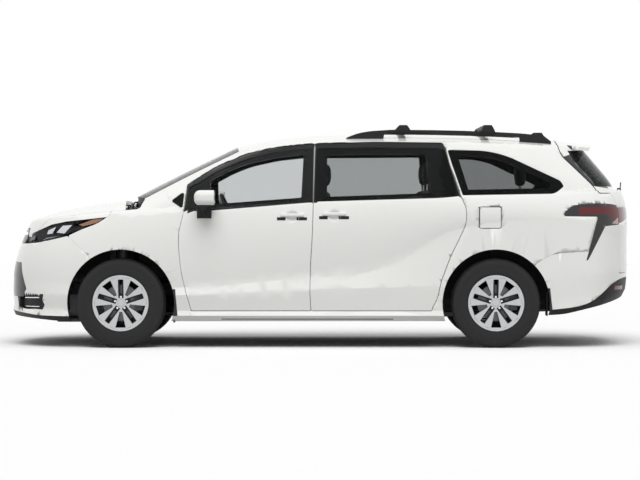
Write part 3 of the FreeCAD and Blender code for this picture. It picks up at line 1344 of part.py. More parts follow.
def steering_wheel():
    """Rim, spokes, hub and shaft."""
    centre = wheel_point(0)
    axis = V(steering_axis)
    axis.normalize()
    grip = Part.makeTorus(steering_radius, steering_grip, centre, axis)
    hub = Part.makeCylinder(wheel_hub_radius, wheel_hub_depth, centre - axis * wheel_hub_back, axis)
    down = axis.cross(V(0, 1, 0))
    spokes = []
    for direction in (V(0, 1, 0), V(0, -1, 0), down):
        spokes.append(bar(0.75 * steering_grip, centre + direction * spoke_start + axis * spoke_set,
                          centre + direction * steering_radius))
    shaft = bar(shaft_radius, centre, wheel_point(column_length - shaft_gap))
    return main_solid(grip.fuse([hub, shaft] + spokes))


mirror_x = along(0.226)
mirror_foot_front = 70.0
mirror_foot_rear = 50.0
mirror_foot_out = 24.0
mirror_foot_in = 30.0
mirror_foot_half = 50.0
mirror_foot_round = 20.0
mirror_stalk = 24.0
mirror_stalk_reach = 110.0
mirror_near = 55.0
mirror_far = 235.0
mirror_front = 85.0
mirror_rear = 80.0
mirror_round = 52.0
mirror_rim = 9.0
mirror_glass_inset = 18.0
mirror_glass_round = 34.0
mirror_glass_depth = 8.0


def mirror():
    """Right door mirror: foot on the door, stalk and housing."""
    z = up(0.628)
    skin = skins.y_at(mirror_x, z)
    foot = box(mirror_x - mirror_foot_front, mirror_x + mirror_foot_rear, skin - mirror_foot_in,
               skin + mirror_foot_out,
               z - mirror_foot_half, z + mirror_foot_half)
    foot = foot.makeFillet(mirror_foot_round, [e for e in foot.Edges if e.BoundBox.YMin > skin])
    stalk = bar(mirror_stalk, V(mirror_x - mirror_foot_round, skin, z),
                V(mirror_x, skin + mirror_stalk_reach, up(0.676)))
    low, high = up(0.659), up(0.73)
    rear = mirror_x + mirror_rear
    housing = box(mirror_x - mirror_front, rear, skin + mirror_near, skin + mirror_far, low, high)
    housing = housing.makeFillet(mirror_round, [e for e in housing.Edges if e.BoundBox.XMin < mirror_x])
    housing = housing.makeFillet(mirror_rim, [e for e in housing.Edges if e.BoundBox.XMin > rear - seam])
    glass = box(rear - mirror_glass_depth, rear + overrun, skin + mirror_near + mirror_glass_inset,
                skin + mirror_far - mirror_glass_inset, low + mirror_glass_inset, high - mirror_glass_inset)
    glass = glass.makeFillet(mirror_glass_round, [e for e in glass.Edges if e.BoundBox.XLength > overrun])
    return main_solid(housing.cut(glass).fuse([foot, stalk]).cut(skins.at(-rest_gap)))


rail_y = 595.0
rail_half = 18.0
rail_bump_radius = 6.0
cap_half = 26.0
cross_half = 31.0
cross_thick = 26.0
cross_top_z = up(1.038)


def roof_rack():
    """Side rails that run down to the roof at both ends, and two crossbars on end blocks."""
    rail = across(side(RAIL_SHARES), inner=rail_y - rail_half, outer=rail_y + rail_half,
                  corner_radius=rail_bump_radius)
    pieces = []
    for outline, x in ((FRONT_CAP_SHARES, along(0.756)), (REAR_CAP_SHARES, along(0.985))):
        pieces.append(across(side(outline), inner=rail_y - cap_half, outer=rail_y + cap_half,
                             corner_radius=rail_bump_radius))
        pieces.append(box(x - cross_half, x + cross_half, 0, rail_y, cross_top_z - cross_thick, cross_top_z))
    half = rail.fuse(pieces).cut(skins.at(-rest_gap))
    return main_solid(whole(main_solid(half)))


flap_sheet = 8.0
flap_barrel = 6.0
flap_pin = 3.0
flap_knuckle = 20.0
flap_corner_clear = 2.0
flap_z = up(0.603)


def fuel_flap_parts():
    """The hinged flap, the pocket behind it and the pin whose ends sit in the pocket's walls."""
    outline = side(FUEL_FLAP_SHARES)
    pocket = across(outline, shut_gap / 2, inner=0.909 * half_width)
    edge = along(0.955) + shut_gap / 2 + flap_corner_clear
    region = across(outline, -shut_gap / 2, inner=0.803 * half_width)
    flap = skins.slab(region, flap_sheet).common(box(edge, rear_tip, 0, half_width, 0, roof_height))
    x, y = edge + flap_sheet, skins.y_at(edge + flap_sheet, flap_z) - flap_sheet
    barrel = bar(flap_barrel, V(x, y, flap_z - flap_knuckle), V(x, y, flap_z + flap_knuckle))
    low, high = V(x, y, up(0.554) - shut_gap), V(x, y, up(0.653) + shut_gap)
    flap = main_solid(flap).fuse(barrel).cut(bar(flap_pin + pin_play, low, high))
    return main_solid(flap), pocket, bar(flap_pin, low, high)


wiper_x = along(0.016)
wiper_post = 12.0
wiper_post_high = 34.0
wiper_arm = 6.0
wiper_arm_low = 28.0
wiper_blade = 7.0
wiper_joint = 8.5
wiper_blade_high = 40.0
wiper_blade_set = 20.0
wiper_blade_start = 40.0
wipers_at = ((-250.0, 560.0), (330.0, 520.0))


def cowl_height(y):
    """Top of the cowl's plate on the wipers' line."""
    share = (wiper_x - front_axle) / wheelbase
    crown = (abs(y) / hood_half) ** hood_crown_power
    return up(through(HOOD_CENTRE_SHARES, share)) - cowl_top - hood_drop(share) * crown


def wipers():
    """Two wiper arms and blades on the cowl."""
    pieces = []
    for y, reach in wipers_at:
        z = cowl_height(y)
        post = bar(wiper_post, V(wiper_x, y, z + 2 * rest_gap), V(wiper_x, y, z + wiper_post_high))
        line = [V(wiper_x + wiper_blade_set, end, cowl_height(end) + wiper_blade_high)
                for end in (y - wiper_blade_start, y - reach / 2, y - reach)]
        blade = [bar(wiper_blade, a, b) for a,
                 b in zip(line, line[1:])] + [Part.makeSphere(wiper_joint, line[1])]
        arm = bar(wiper_arm, V(wiper_x, y, z + wiper_arm_low), line[1])
        pieces.append(main_solid(post.fuse(blade + [arm])))
    return Part.makeCompound(pieces)


rear_wiper_z = up(0.736)
rear_wiper_reach = 360.0
rear_wiper_rise = 55.0
rear_wiper_post = 14.0
rear_wiper_high = 30.0
rear_wiper_arm = 5.0
rear_wiper_arm_out = 24.0
rear_wiper_end_in = 12.0


def rear_wiper():
    """Wiper on the tailgate: post and arm along the glass's lower edge."""
    line = Part.makeLine(V(0, 0, rear_wiper_z), V(rear_tip + overrun, 0, rear_wiper_z))
    x = skins.at(0.0).common(line).BoundBox.XMax
    post = bar(rear_wiper_post, V(x - seam, 0, rear_wiper_z), V(x + rear_wiper_high, 0, rear_wiper_z))
    arm = bar(rear_wiper_arm, V(x + rear_wiper_arm_out, 0, rear_wiper_z),
              V(x - rear_wiper_end_in, -rear_wiper_reach, rear_wiper_z + rear_wiper_rise))
    return main_solid(post.fuse(arm).cut(whole(skins.at(-rest_gap))))


def build():
    """Makes and writes every sub-part."""
    door, pane = front_door()
    store("front_door_right", door)
    store("front_door_left", mirrored(door))
    store("front_door_window_right", pane)
    store("front_door_window_left", mirrored(pane))
    slide, slide_pane = sliding_door()
    store("sliding_doors", both(slide))
    side_piece = body_side()
    quarter = skins.slab(across(side(QUARTER_GLASS_SHARES), inner=0.5 * half_width), glass_thickness)
    quarter_seat = skins.slab(across(side(QUARTER_GLASS_SHARES), rest_gap, inner=0.5 * half_width),
                              glass_thickness + rest_gap)
    sail = skins.slab(across(side(SAIL_GLASS_SHARES), inner=0.5 * half_width), glass_thickness)
    sail_seat = skins.slab(across(side(SAIL_GLASS_SHARES), rest_gap, inner=0.5 * half_width),
                           glass_thickness + rest_gap)
    side_piece = side_piece.cut([quarter_seat, sail_seat,
                                 across(side(QUARTER_HOLE_SHARES), inner=0.5 * half_width)])
    side_piece = main_solid(side_piece)
    flap, pocket, pin = fuel_flap_parts()
    store("body_side_right", side_piece)
    store("body_side_left", main_solid(mirrored(side_piece.cut(pocket).fuse(pin))))
    store("fuel_flap", mirrored(flap))
    panes = [main_solid(p) for p in (slide_pane, quarter, sail)]
    store("side_windows", Part.makeCompound([s for p in panes for s in both(p).Solids]))
    store("roof_panel", whole(roof()))
    store("hood", whole(hood()))
    store("front_fenders", both(fender()))
    store("front_bumper", whole(front_bumper()))
    store("rear_bumper", whole(rear_bumper()))
    lip, tail, sill = valances()
    store("lower_valances", Part.makeCompound(lip.Solids + tail.Solids + both(sill).Solids))
    store("headlamps", both(headlamp()))
    store("tail_lamps", both(tail_lamp()))
    store("grille", grille())
    store("cowl_panel", whole(cowl()))
    store("windshield", whole(windshield()))
    gate, gate_pane = tailgate()
    store("tailgate", whole(gate))
    store("tailgate_lamps", both(gate_lamp()))
    store("rear_wiper", rear_wiper())
    store("tailgate_window", whole(gate_pane))
    for name, axle in (("front", front_axle), ("rear", rear_axle)):
        for kind, piece in (("tyre", tyre(axle)), ("rim", rim(axle))):
            store("%s_%s_right" % (kind, name), piece)
            store("%s_%s_left" % (kind, name), mirrored(piece))
    for name, piece in (("knuckle", knuckle()), ("mirror", mirror())):
        store("%s_right" % name, piece)
        store("%s_left" % name, mirrored(piece))
    store("front_suspension", front_suspension())
    store("rear_axle", rear_suspension())
    store("floor_pan", floor_pan())
    store("front_frame", front_frame())
    store("wheel_liners", wheel_liners())
    store("engine_block", engine())
    store("exhaust", exhaust())
    store("front_seats", front_seats())
    store("rear_seats", rear_seats())
    store("dashboard", dashboard())
    store("steering_wheel", steering_wheel())
    store("roof_rack", roof_rack())
    store("wipers", wipers())


if __name__ == "__main__":
    build()
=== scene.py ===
"""Looks of a white minivan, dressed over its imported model."""

import json
import math

import bpy
from mathutils import Matrix, Vector
from mathutils.bvhtree import BVHTree

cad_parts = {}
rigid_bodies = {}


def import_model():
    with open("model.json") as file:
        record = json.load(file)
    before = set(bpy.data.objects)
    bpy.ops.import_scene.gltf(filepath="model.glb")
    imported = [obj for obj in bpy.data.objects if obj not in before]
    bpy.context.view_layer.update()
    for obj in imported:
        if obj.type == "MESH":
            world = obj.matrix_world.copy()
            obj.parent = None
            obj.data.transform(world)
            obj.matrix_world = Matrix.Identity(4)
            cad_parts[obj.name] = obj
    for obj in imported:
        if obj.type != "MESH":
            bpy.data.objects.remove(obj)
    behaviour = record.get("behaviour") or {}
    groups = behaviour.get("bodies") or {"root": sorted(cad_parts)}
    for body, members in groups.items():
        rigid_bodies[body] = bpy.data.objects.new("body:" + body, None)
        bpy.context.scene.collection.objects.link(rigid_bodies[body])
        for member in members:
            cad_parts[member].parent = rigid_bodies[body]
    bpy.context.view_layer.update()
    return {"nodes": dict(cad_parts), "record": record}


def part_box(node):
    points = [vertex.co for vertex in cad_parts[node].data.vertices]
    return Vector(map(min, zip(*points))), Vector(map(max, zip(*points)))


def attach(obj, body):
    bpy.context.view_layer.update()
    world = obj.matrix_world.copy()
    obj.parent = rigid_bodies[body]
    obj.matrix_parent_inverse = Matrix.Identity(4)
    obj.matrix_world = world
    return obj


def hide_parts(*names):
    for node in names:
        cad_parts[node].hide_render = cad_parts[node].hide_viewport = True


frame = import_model()
nodes = frame["nodes"]
body_of_node = {n: b for b, names in frame["record"]["behaviour"]["bodies"].items() for n in names}

# Driving sizes, in metres
half_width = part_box("rear_bumper")[1].y
front_axle = (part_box("tyre_front_left")[0].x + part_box("tyre_front_left")[1].x) / 2
rear_axle = (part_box("tyre_rear_left")[0].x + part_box("tyre_rear_left")[1].x) / 2
tyre_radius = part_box("tyre_front_left")[1].z / 2
tyre_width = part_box("tyre_front_right")[1].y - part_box("tyre_front_right")[0].y
wheel_y = (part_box("tyre_front_right")[1].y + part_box("tyre_front_right")[0].y) / 2
smooth_angle = math.radians(28)
weld_distance = 2e-5


# Finishes that several pieces share
paint_roughness = 0.32
paint_coat = 0.7
glass_gloss = 0.04
pane_edge = 0.25
pane_shine = 0.6
lens_edge = 0.2
lens_shine = 0.5
grain_detail = 3.0
grain_strength = 0.4
coat_loss = -0.8

# Where a panel turns from paint to black or to trim
against_glass = 0.0012
near_glass = 0.05
trim_depth = 0.085
above_floor = 0.35

# Shader maths
class Wire:
    """A socket of a shader; sums and products written on it add their Math nodes."""

    def __init__(self, finish, socket):
        self.finish = finish
        self.socket = socket

    def maths(self, operation, first, second=None):
        values = [first] if second is None else [first, second]
        return self.finish.node("ShaderNodeMath", {"operation": operation}, dict(enumerate(values)))

    def __add__(self, other):
        return self.maths("ADD", self, other)

    __radd__ = __add__

    def __sub__(self, other):
        return self.maths("SUBTRACT", self, other)

    def __rsub__(self, other):
        return self.maths("SUBTRACT", other, self)

    def __mul__(self, other):
        return self.maths("MULTIPLY", self, other)

    __rmul__ = __mul__

    def __truediv__(self, other):
        return self.maths("DIVIDE", self, other)

    def size(self):
        return self.maths("ABSOLUTE", self)

    def __gt__(self, other):
        return self.maths("GREATER_THAN", self, other)

    def __lt__(self, other):
        return self.maths("LESS_THAN", self, other)


class Finish:
    """A material and the one way its nodes are made."""

    def __init__(self, name):
        self.material = bpy.data.materials.new(name)
        self.material.use_nodes = True
        self.tree = self.material.node_tree
        self.tree.nodes.clear()
        self.output = self.tree.nodes.new("ShaderNodeOutputMaterial")

    def node(self, kind, settings=None, inputs=None, output=0):
        """Adds a node with its settings and the values or links of its sockets."""
        node = self.tree.nodes.new(kind)
        for key, value in (settings or {}).items():
            if key == "stops":
                ramp = node.color_ramp
                for i, (place, colour) in enumerate(value):
                    stop = ramp.elements[i] if i < 2 else ramp.elements.new(place)
                    stop.position = place
                    stop.color = colour
            else:
                setattr(node, key, value)
        for key, value in (inputs or {}).items():
            if isinstance(value, Wire):
                self.tree.links.new(value.socket, node.inputs[key])
            else:
                node.inputs[key].default_value = value
        return Wire(self, node.outputs[output])

    def surface(self, wire):
        self.tree.links.new(wire.socket, self.output.inputs["Surface"])
        return self.material

    def place(self):
        """The X, Y and Z of a point on the piece."""
        spot = self.node("ShaderNodeTexCoord", output="Object")
        split = self.node("ShaderNodeSeparateXYZ", {}, {0: spot})
        outputs = split.socket.node.outputs
        return [Wire(self, outputs[i]) for i in range(3)]


def shiny(name, colour, roughness=0.5, metallic=0.0, coat=0.0, coat_roughness=0.03, **more):
    """A plain finish from one set of values."""
    finish = Finish(name)
    values = {"Base Color": (*colour, 1.0), "Roughness": roughness, "Metallic": metallic,
              "Coat Weight": coat, "Coat Roughness": coat_roughness}
    values.update(more)
    return finish.surface(finish.node("ShaderNodeBsdfPrincipled", {}, values))


def grained(name, colour, roughness, scale, depth, metallic=0.0, shine=0.5):
    """A finish with a fine grain, for moulded plastic, leather and cast metal."""
    finish = Finish(name)
    spot = finish.node("ShaderNodeTexCoord", output="Object")
    grain = finish.node("ShaderNodeTexNoise", {}, {"Vector": spot, "Scale": scale, "Detail": grain_detail})
    bump = finish.node("ShaderNodeBump", {}, {"Strength": grain_strength, "Distance": depth,
                                              "Height": grain})
    values = {"Base Color": (*colour, 1.0), "Roughness": roughness, "Metallic": metallic, "Normal": bump,
              "Specular IOR Level": shine}
    return finish.surface(finish.node("ShaderNodeBsdfPrincipled", {}, values))


def see_through(name, tint, gloss):
    """Thin tinted glass: mostly clear, with a mirror-like share that grows at a grazing angle."""
    finish = Finish(name)
    clear = finish.node("ShaderNodeBsdfTransparent", {}, {"Color": (*tint, 1.0)})
    mirror = finish.node("ShaderNodeBsdfPrincipled", {},
                         {"Base Color": (0.02, 0.022, 0.022, 1.0), "Roughness": 0.02,
                                                         "Coat Weight": 0.5})
    share = finish.node("ShaderNodeLayerWeight", {}, {"Blend": pane_edge}, output="Fresnel")
    return finish.surface(finish.node("ShaderNodeMixShader", {},
                                      {0: share * pane_shine + gloss, 1: clear, 2: mirror}))


def lamp_top(x, z):
    """1 under the upper edge of the headlamp's lens, which is three straight runs."""
    return (z < (x + 2.198) * 0.41 + 1.005) * (z < (x + 2.198) * 0.20 + 1.005) * (z < (x + 2.073) * 0.108
                                                                                  + 1.030)


def banded_lens(name, tint, gloss, paint_colour):
    """Clear glass below the lens's edge and body paint above it."""
    finish = Finish(name)
    x, y, z = finish.place()
    clear = finish.node("ShaderNodeBsdfTransparent", {}, {"Color": (*tint, 1.0)})
    mirror = finish.node("ShaderNodeBsdfPrincipled", {},
                         {"Base Color": (0.02, 0.02, 0.02, 1.0), "Roughness": 0.03})
    share = finish.node("ShaderNodeLayerWeight", {}, {"Blend": lens_edge}, output="Fresnel")
    lens = finish.node("ShaderNodeMixShader", {}, {0: share * lens_shine + gloss, 1: clear, 2: mirror})
    paint = finish.node("ShaderNodeBsdfPrincipled", {},
                        {"Base Color": (*paint_colour, 1.0), "Roughness": paint_roughness,
                                                        "Coat Weight": paint_coat})
    return finish.surface(finish.node("ShaderNodeMixShader", {}, {0: lamp_top(x, z), 1: paint, 2: lens}))


def two_tone(name, first, second, mask, roughness=0.5, second_roughness=None, coat=0.0, metallic=0.0):
    """A finish that is second where mask(x, y, z) is 1 on the piece, and first elsewhere."""
    finish = Finish(name)
    share = mask(*finish.place())
    colour = finish.node("ShaderNodeMix", {"data_type": "RGBA"},
                         {0: share, 6: (*first, 1.0), 7: (*second, 1.0)}, output=2)
    values = {"Base Color": colour, "Roughness": roughness, "Coat Weight": coat, "Metallic": metallic}
    if second_roughness is not None:
        values["Roughness"] = share * (second_roughness - roughness) + roughness
        values["Coat Weight"] = share * coat_loss * coat + coat
    return finish.surface(finish.node("ShaderNodeBsdfPrincipled", {}, values))


pearl_colour = (0.82, 0.82, 0.795)
pearl = shiny("pearl_white_paint", pearl_colour, paint_roughness, coat=paint_coat)
piano_black = shiny("gloss_black", (0.010, 0.010, 0.011), 0.14, **{"Specular IOR Level": 0.35})
satin_black = grained("satin_black_plastic", (0.020, 0.020, 0.021), 0.5, 900.0, 0.0002, shine=0.2)
soft_black = grained("door_trim_grey", (0.055, 0.055, 0.057), 0.7, 700.0, 0.0003)
headliner = grained("pale_headliner", (0.45, 0.44, 0.42), 0.9, 900.0, 0.0003)
rubber = grained("black_rubber", (0.014, 0.014, 0.014), 0.75, 400.0, 0.0002, shine=0.2)
tyre_black = grained("tyre_rubber", (0.019, 0.019, 0.020), 0.62, 500.0, 0.0002, shine=0.3)
alloy_colour = (0.55, 0.56, 0.57)
alloy = shiny("silver_lacquered_alloy", alloy_colour, 0.3, metallic=1.0)
dark_alloy = shiny("dark_alloy_barrel", (0.035, 0.035, 0.037), 0.5, metallic=0.6)
chrome = shiny("bright_chrome", (0.80, 0.81, 0.82), 0.06, metallic=1.0)
steel = grained("cast_steel", (0.10, 0.10, 0.105), 0.55, 300.0, 0.0003, 0.6)
pipe_steel = shiny("exhaust_steel", (0.12, 0.115, 0.11), 0.45, metallic=0.9)
disc_steel = shiny("turned_disc_steel", (0.13, 0.13, 0.135), 0.35, metallic=1.0)
underseal = grained("dark_underseal", (0.035, 0.035, 0.036), 0.85, 200.0, 0.0006)
cast_alloy = grained("cast_engine_alloy", (0.22, 0.22, 0.23), 0.6, 250.0, 0.0005, 0.7)
clear_glass = see_through("light_grey_glass", (0.90, 0.91, 0.91), glass_gloss)
dark_glass = see_through("privacy_glass", (0.66, 0.67, 0.67), glass_gloss)
middle_glass = see_through("grey_glass", (0.775, 0.785, 0.785), glass_gloss)
lamp_housing = shiny("lamp_housing", (0.03, 0.03, 0.032), 0.25, metallic=0.4)
lamp_red = shiny("red_lamp_lens", (0.13, 0.004, 0.010), 0.15, coat=0.4)
dull_silver = shiny("dull_silver_trim", (0.36, 0.36, 0.37), 0.3, metallic=0.5)
dull_pink = shiny("pale_lens", (0.42, 0.30, 0.30), 0.2, coat=0.8)
lamp_amber = shiny("amber_side_marker", (0.42, 0.20, 0.10), 0.15, coat=0.8)
reflector = shiny("bright_reflector", (0.88, 0.89, 0.90), 0.15, metallic=0.6)
mirror_glass = shiny("mirror_glass", (0.6, 0.62, 0.64), 0.02, metallic=1.0)
leather = grained("grey_leather", (0.20, 0.195, 0.19), 0.55, 350.0, 0.0006)
screen_black = shiny("screen_black", (0.01, 0.01, 0.012), 0.08, coat=0.6)


# Modelling helpers
def deselect():
    bpy.ops.object.select_all(action="DESELECT")


def take(obj):
    """Makes one object the only one selected, and the active one."""
    deselect()
    obj.select_set(True)
    bpy.context.view_layer.objects.active = obj


def edit(obj):
    take(obj)
    bpy.ops.object.mode_set(mode="EDIT")


def leave():
    bpy.ops.object.mode_set(mode="OBJECT")


def pick(obj, wanted, domain="FACE"):
    """Selects the faces, edges or vertices that wanted() says yes to, from object mode."""
    mesh = obj.data
    for group in (mesh.vertices, mesh.edges, mesh.polygons):
        group.foreach_set("select", [False] * len(group))
    if domain == "FACE":
        for face in mesh.polygons:
            face.select = wanted(face)
    elif domain == "EDGE":
        for edge in mesh.edges:
            edge.select = wanted(edge)
    else:
        for vertex in mesh.vertices:
            vertex.select = wanted(vertex)
    bpy.context.tool_settings.mesh_select_mode = (domain == "VERT", domain == "EDGE", domain == "FACE")


def smooth(obj, angle=smooth_angle):
    take(obj)
    bpy.ops.object.shade_smooth_by_angle(angle=angle)


def even_shade(obj):
    """Lets the large faces set how a panel shades, so that its thin ones don't show."""
    take(obj)
    modifier = obj.modifiers.new("even_shade", "WEIGHTED_NORMAL")
    modifier.mode = "FACE_AREA"
    modifier.weight = 100
    modifier.keep_sharp = True
    bpy.ops.object.modifier_apply(modifier=modifier.name)


def finish_piece(obj, body, slot, *materials):
    """Gives a new piece its finishes and its body; the slot argument is not used."""
    if materials:
        obj.data.materials.clear()
        for material in materials:
            obj.data.materials.append(material)
    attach(obj, body)
    return obj


def welded(node, piece):
    """A smooth copy of a CAD node with its triangles joined."""
    mesh = nodes[node].data.copy()
    obj = bpy.data.objects.new(piece, mesh)
    bpy.context.scene.collection.objects.link(obj)
    mesh.materials.clear()
    edit(obj)
    bpy.ops.mesh.select_all(action="SELECT")
    bpy.ops.mesh.remove_doubles(threshold=weld_distance)
    leave()
    smooth(obj)
    even_shade(obj)
    return obj


def dress(node, chooser, *materials):
    """Stands a smooth copy in for a CAD node, each face finished as chooser() says."""
    obj = welded(node, node + "_dressed")
    for material in materials:
        obj.data.materials.append(material)
    if chooser is not None:
        for face in obj.data.polygons:
            face.material_index = chooser(face)
    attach(obj, body_of_node[node])
    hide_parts(node)
    return obj


def nearness(*names):
    """How far a point is from the nearest of some nodes."""
    trees = []
    for name in names:
        mesh = nodes[name].data
        trees.append(BVHTree.FromPolygons([v.co for v in mesh.vertices],
                                          [tuple(p.vertices) for p in mesh.polygons]))

    def distance(point):
        return min(tree.find_nearest(point)[3] for tree in trees)

    return distance


def moved(obj, matrix):
    """Moves a piece's mesh and leaves its object at the origin."""
    obj.data.transform(matrix)
    obj.data.update()
    return obj


def twin(obj, name, matrix):
    """A copy of a piece with its own mesh, moved by a matrix; a mirrored one is turned the right way out."""
    other = obj.copy()
    other.data = obj.data.copy()
    other.name = name
    other.parent = None
    bpy.context.scene.collection.objects.link(other)
    moved(other, matrix)
    if matrix.determinant() < 0:
        edit(other)
        bpy.ops.mesh.select_all(action="SELECT")
        bpy.ops.mesh.normals_make_consistent(inside=False)
        leave()
    return other


def apply_modifiers(obj):
    take(obj)
    for modifier in list(obj.modifiers):
        bpy.ops.object.modifier_apply(modifier=modifier.name)


def rounded_block(name, low, high, radius, segments=3):
    """A box between two corners with rounded edges."""
    low, high = Vector(low), Vector(high)
    bpy.ops.mesh.primitive_cube_add(size=1, location=(low + high) / 2)
    obj = bpy.context.active_object
    obj.name = name
    obj.scale = high - low
    take(obj)
    bpy.ops.object.transform_apply(location=True, rotation=True, scale=True)
    edit(obj)
    bpy.ops.mesh.select_all(action="SELECT")
    bpy.ops.mesh.bevel(offset=radius, segments=segments, affect="EDGES")
    leave()
    smooth(obj)
    return obj


mirror_y = Matrix.Scale(-1, 4, Vector((0, 1, 0)))
glazing = nearness("front_door_window_left", "front_door_window_right", "side_windows", "windshield",
                   "tailgate_window")
belt_points = [(-1.20, 1.110), (-0.97, 1.112), (-0.06, 1.186), (1.14, 1.235), (2.0, 1.250)]


def belt(x):
    """Height of the lower edge of the side glass."""
    previous = belt_points[0]
    for point in belt_points[1:]:
        if x <= point[0]:
            share = max(0.0, (x - previous[0]) / (point[0] - previous[0]))
            return previous[1] + share * (point[1] - previous[1])
        previous = point
    return previous[1]


# Painted panels: 0 paint, 1 gloss black behind the glass edge, 2 inner trim
def faces_out(face, share=0.30):
    """True where a face looks away from the cabin."""
    centre, normal = face.center, face.normal
    return normal.y * (1 if centre.y > 0 else -1) > share or normal.z > 0.75


def door_face(face):
    centre = face.center
    if glazing(centre) < against_glass:
        return 1
    if centre.z > belt(centre.x) - 0.002:
        return 1
    if not faces_out(face) and abs(centre.y) < half_width - trim_depth:
        return 2
    return 0


def side_face(face):
    centre = face.center
    if glazing(centre) < against_glass:
        return 1
    if not faces_out(face) and glazing(centre) < near_glass:
        return 1
    if not faces_out(face) and centre.z > belt(centre.x) and abs(centre.x - 0.5) < 1.3:
        return 1
    if not faces_out(face) and abs(centre.y) < half_width - trim_depth and centre.z > above_floor:
        return 2
    return 0


for side in ("left", "right"):
    dress("front_door_" + side, door_face, pearl, piano_black, soft_black)
    dress("body_side_" + side, side_face, pearl, piano_black, soft_black)
    dress("front_door_window_" + side, None, clear_glass)
dress("sliding_doors", door_face, pearl, piano_black, soft_black)
dress("side_windows", lambda face: 1 if face.center.x > 1.0 else 0, middle_glass, dark_glass)
dress("windshield", None, clear_glass)
dress("tailgate_window", None, dark_glass)


def roof_face(face):
    if glazing(face.center) < against_glass:
        return 1
    return 2 if face.normal.z < -0.3 else 0


dress("roof_panel", roof_face, pearl, piano_black, headliner)


def quarter_strip(x, y, z):
    """1 on the black strip beside the rear glass."""
    top = z < (x - 2.022) * 0.351 + 1.567
    bottom = z > (x - 2.296) * -0.14 + 1.314
    rear = x < (1.616 - z) * 0.7405 + 2.163
    return top * bottom * rear * (y.size() > 0.55)


def gate_black_and_shade(x, y, z):
    """The quarter strips, and painted shade in the slot of the tailgate's handle."""
    handle = (x > 2.4) * (y.size() < 0.20) * (z > 0.985) * (z < 1.012)
    strip = quarter_strip(x, y, z)
    return strip + handle - strip * handle


# The second colour is the black of the quarter strips and also the painted shade in the handle's slot.
gate_paint = two_tone("gate_paint", pearl_colour, (0.012, 0.012, 0.013), gate_black_and_shade, paint_roughness, 0.12,
                      paint_coat)


def gate_face(face):
    """0 paint, 1 black behind the glass edge, 2 inner trim."""
    if glazing(face.center) < against_glass:
        return 1
    return 2 if face.normal.x < -0.2 else 0


def hood_corner(x, y, z):
    """1 on the hood's dark corner above the headlamp."""
    return lamp_top(x, z) * (y.size() > 0.60) * (x < -2.10)


dress("tailgate", gate_face, gate_paint, piano_black, soft_black)
hood_paint = two_tone("hood_paint", pearl_colour, (0.014, 0.014, 0.015), hood_corner, paint_roughness, 0.14, 0.5)
dress("hood", lambda face: 1 if face.normal.z < -0.3 else 0, hood_paint, underseal)
flap_black = (0.014, 0.014, 0.014)


def front_flap_edge(x, y, z):
    """1 on the mud flap's edge behind the front arch."""
    return (z < 0.48) * (x > -1.25) * (x < (0.48 - z) * 0.087 - 1.177)


def rear_flap_edge(x, y, z):
    """1 on the mud flap's edge behind the rear arch."""
    return (z < 0.488) * (x > 1.80) * (x < (0.488 - z) * 0.114 + 1.877)


dress("front_fenders", None, two_tone("fender_paint", pearl_colour, flap_black, front_flap_edge,
                                      paint_roughness, 0.7,
                                         paint_coat))


def fog_face(face):
    """The walls of the fog lamps' recesses are black."""
    centre = face.center
    return 1 if -2.50 < centre.x < -2.262 and 0.303 < centre.z < 0.431 and abs(centre.y) > 0.5 else 0


dress("front_bumper", fog_face, pearl, satin_black)
dress("rear_bumper", None, two_tone("rear_bumper_paint", pearl_colour, flap_black, rear_flap_edge,
                                    paint_roughness, 0.7,
                                       paint_coat))


def sill_face(face):
    """The sill is body-coloured, the front and rear lips are black."""
    return 1 if front_axle < face.center.x < rear_axle and abs(face.center.y) > 0.8 else 0


dress("lower_valances", sill_face, satin_black, pearl)
dress("fuel_flap", None, pearl)
dress("cowl_panel", None, satin_black)
dress("grille", None, piano_black)
dress("roof_rack", None, satin_black)
dress("wheel_liners", None, underseal)
dress("wipers", None, satin_black)
dress("rear_wiper", None, satin_black)


def lens_face(face):
    """0 on the outer lens, 1 on the housing behind it."""
    outward = Vector((-0.6, 0.7 if face.center.y > 0 else -0.7, 0.3))
    return 0 if face.normal.dot(outward) > 0.25 else 1


dress("headlamps", lens_face, banded_lens("headlamp_lens", (0.9, 0.91, 0.92), 0.02, pearl_colour),
      lamp_housing)


def red_band(x, y, z):
    """1 on the lit band of the tail lamp, and 0 on its black outline and spear."""
    top = z < (x - 2.19) * 0.02 + 1.148
    bottom = z > (x - 2.19) * 0.01 + 1.088
    heart = (x > 2.355) * (z > (2.43 - x) * 1.1 + 1.01) * (z < 1.12)
    band = top * bottom * (x > 2.115)
    return band + heart - band * heart


tail_lens = two_tone("tail_lamp_lens", (0.008, 0.008, 0.009), (0.11, 0.003, 0.007), red_band, 0.15, 0.15,
                     0.3)
dress("tail_lamps", None, tail_lens)
dress("tailgate_lamps", None, lamp_red)
dress("floor_pan", None, underseal)
dress("front_frame", None, underseal)
dress("engine_block", None, cast_alloy)
dress("front_suspension", None, steel)
dress("rear_axle", None, steel)
dress("exhaust", None, pipe_steel)
dress("dashboard", None, soft_black)
dress("steering_wheel", None, soft_black)
for side in ("left", "right"):
    dress("knuckle_" + side, None, steel)


mirror_base_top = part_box("mirror_left")[0].z + 0.11


def mirror_face(face):
    return 1 if face.center.z < mirror_base_top or face.normal.x > 0.85 else 0


for side in ("left", "right"):
    dress("mirror_" + side, mirror_face, pearl, satin_black)


# Seats
seat_width = 0.50
seat_depth = 0.50
cushion_thickness = 0.14
back_thickness = 0.13
recline = 0.24
headrest_depth, headrest_width, headrest_height = 0.09, 0.25, 0.19
headrest_lift = 0.03
bench_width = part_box("rear_seats")[1].y * 2 - 0.17
seat_slack = 0.007
seat_cloth_limit = 0.014
seat_voxel = 0.008
bench_voxel = 0.012
cloth_frames = 20
seat_height = 0.5896
seam_depth = 0.005
seam_half = 0.006
insert_half = 0.155
insert_sink = 0.010


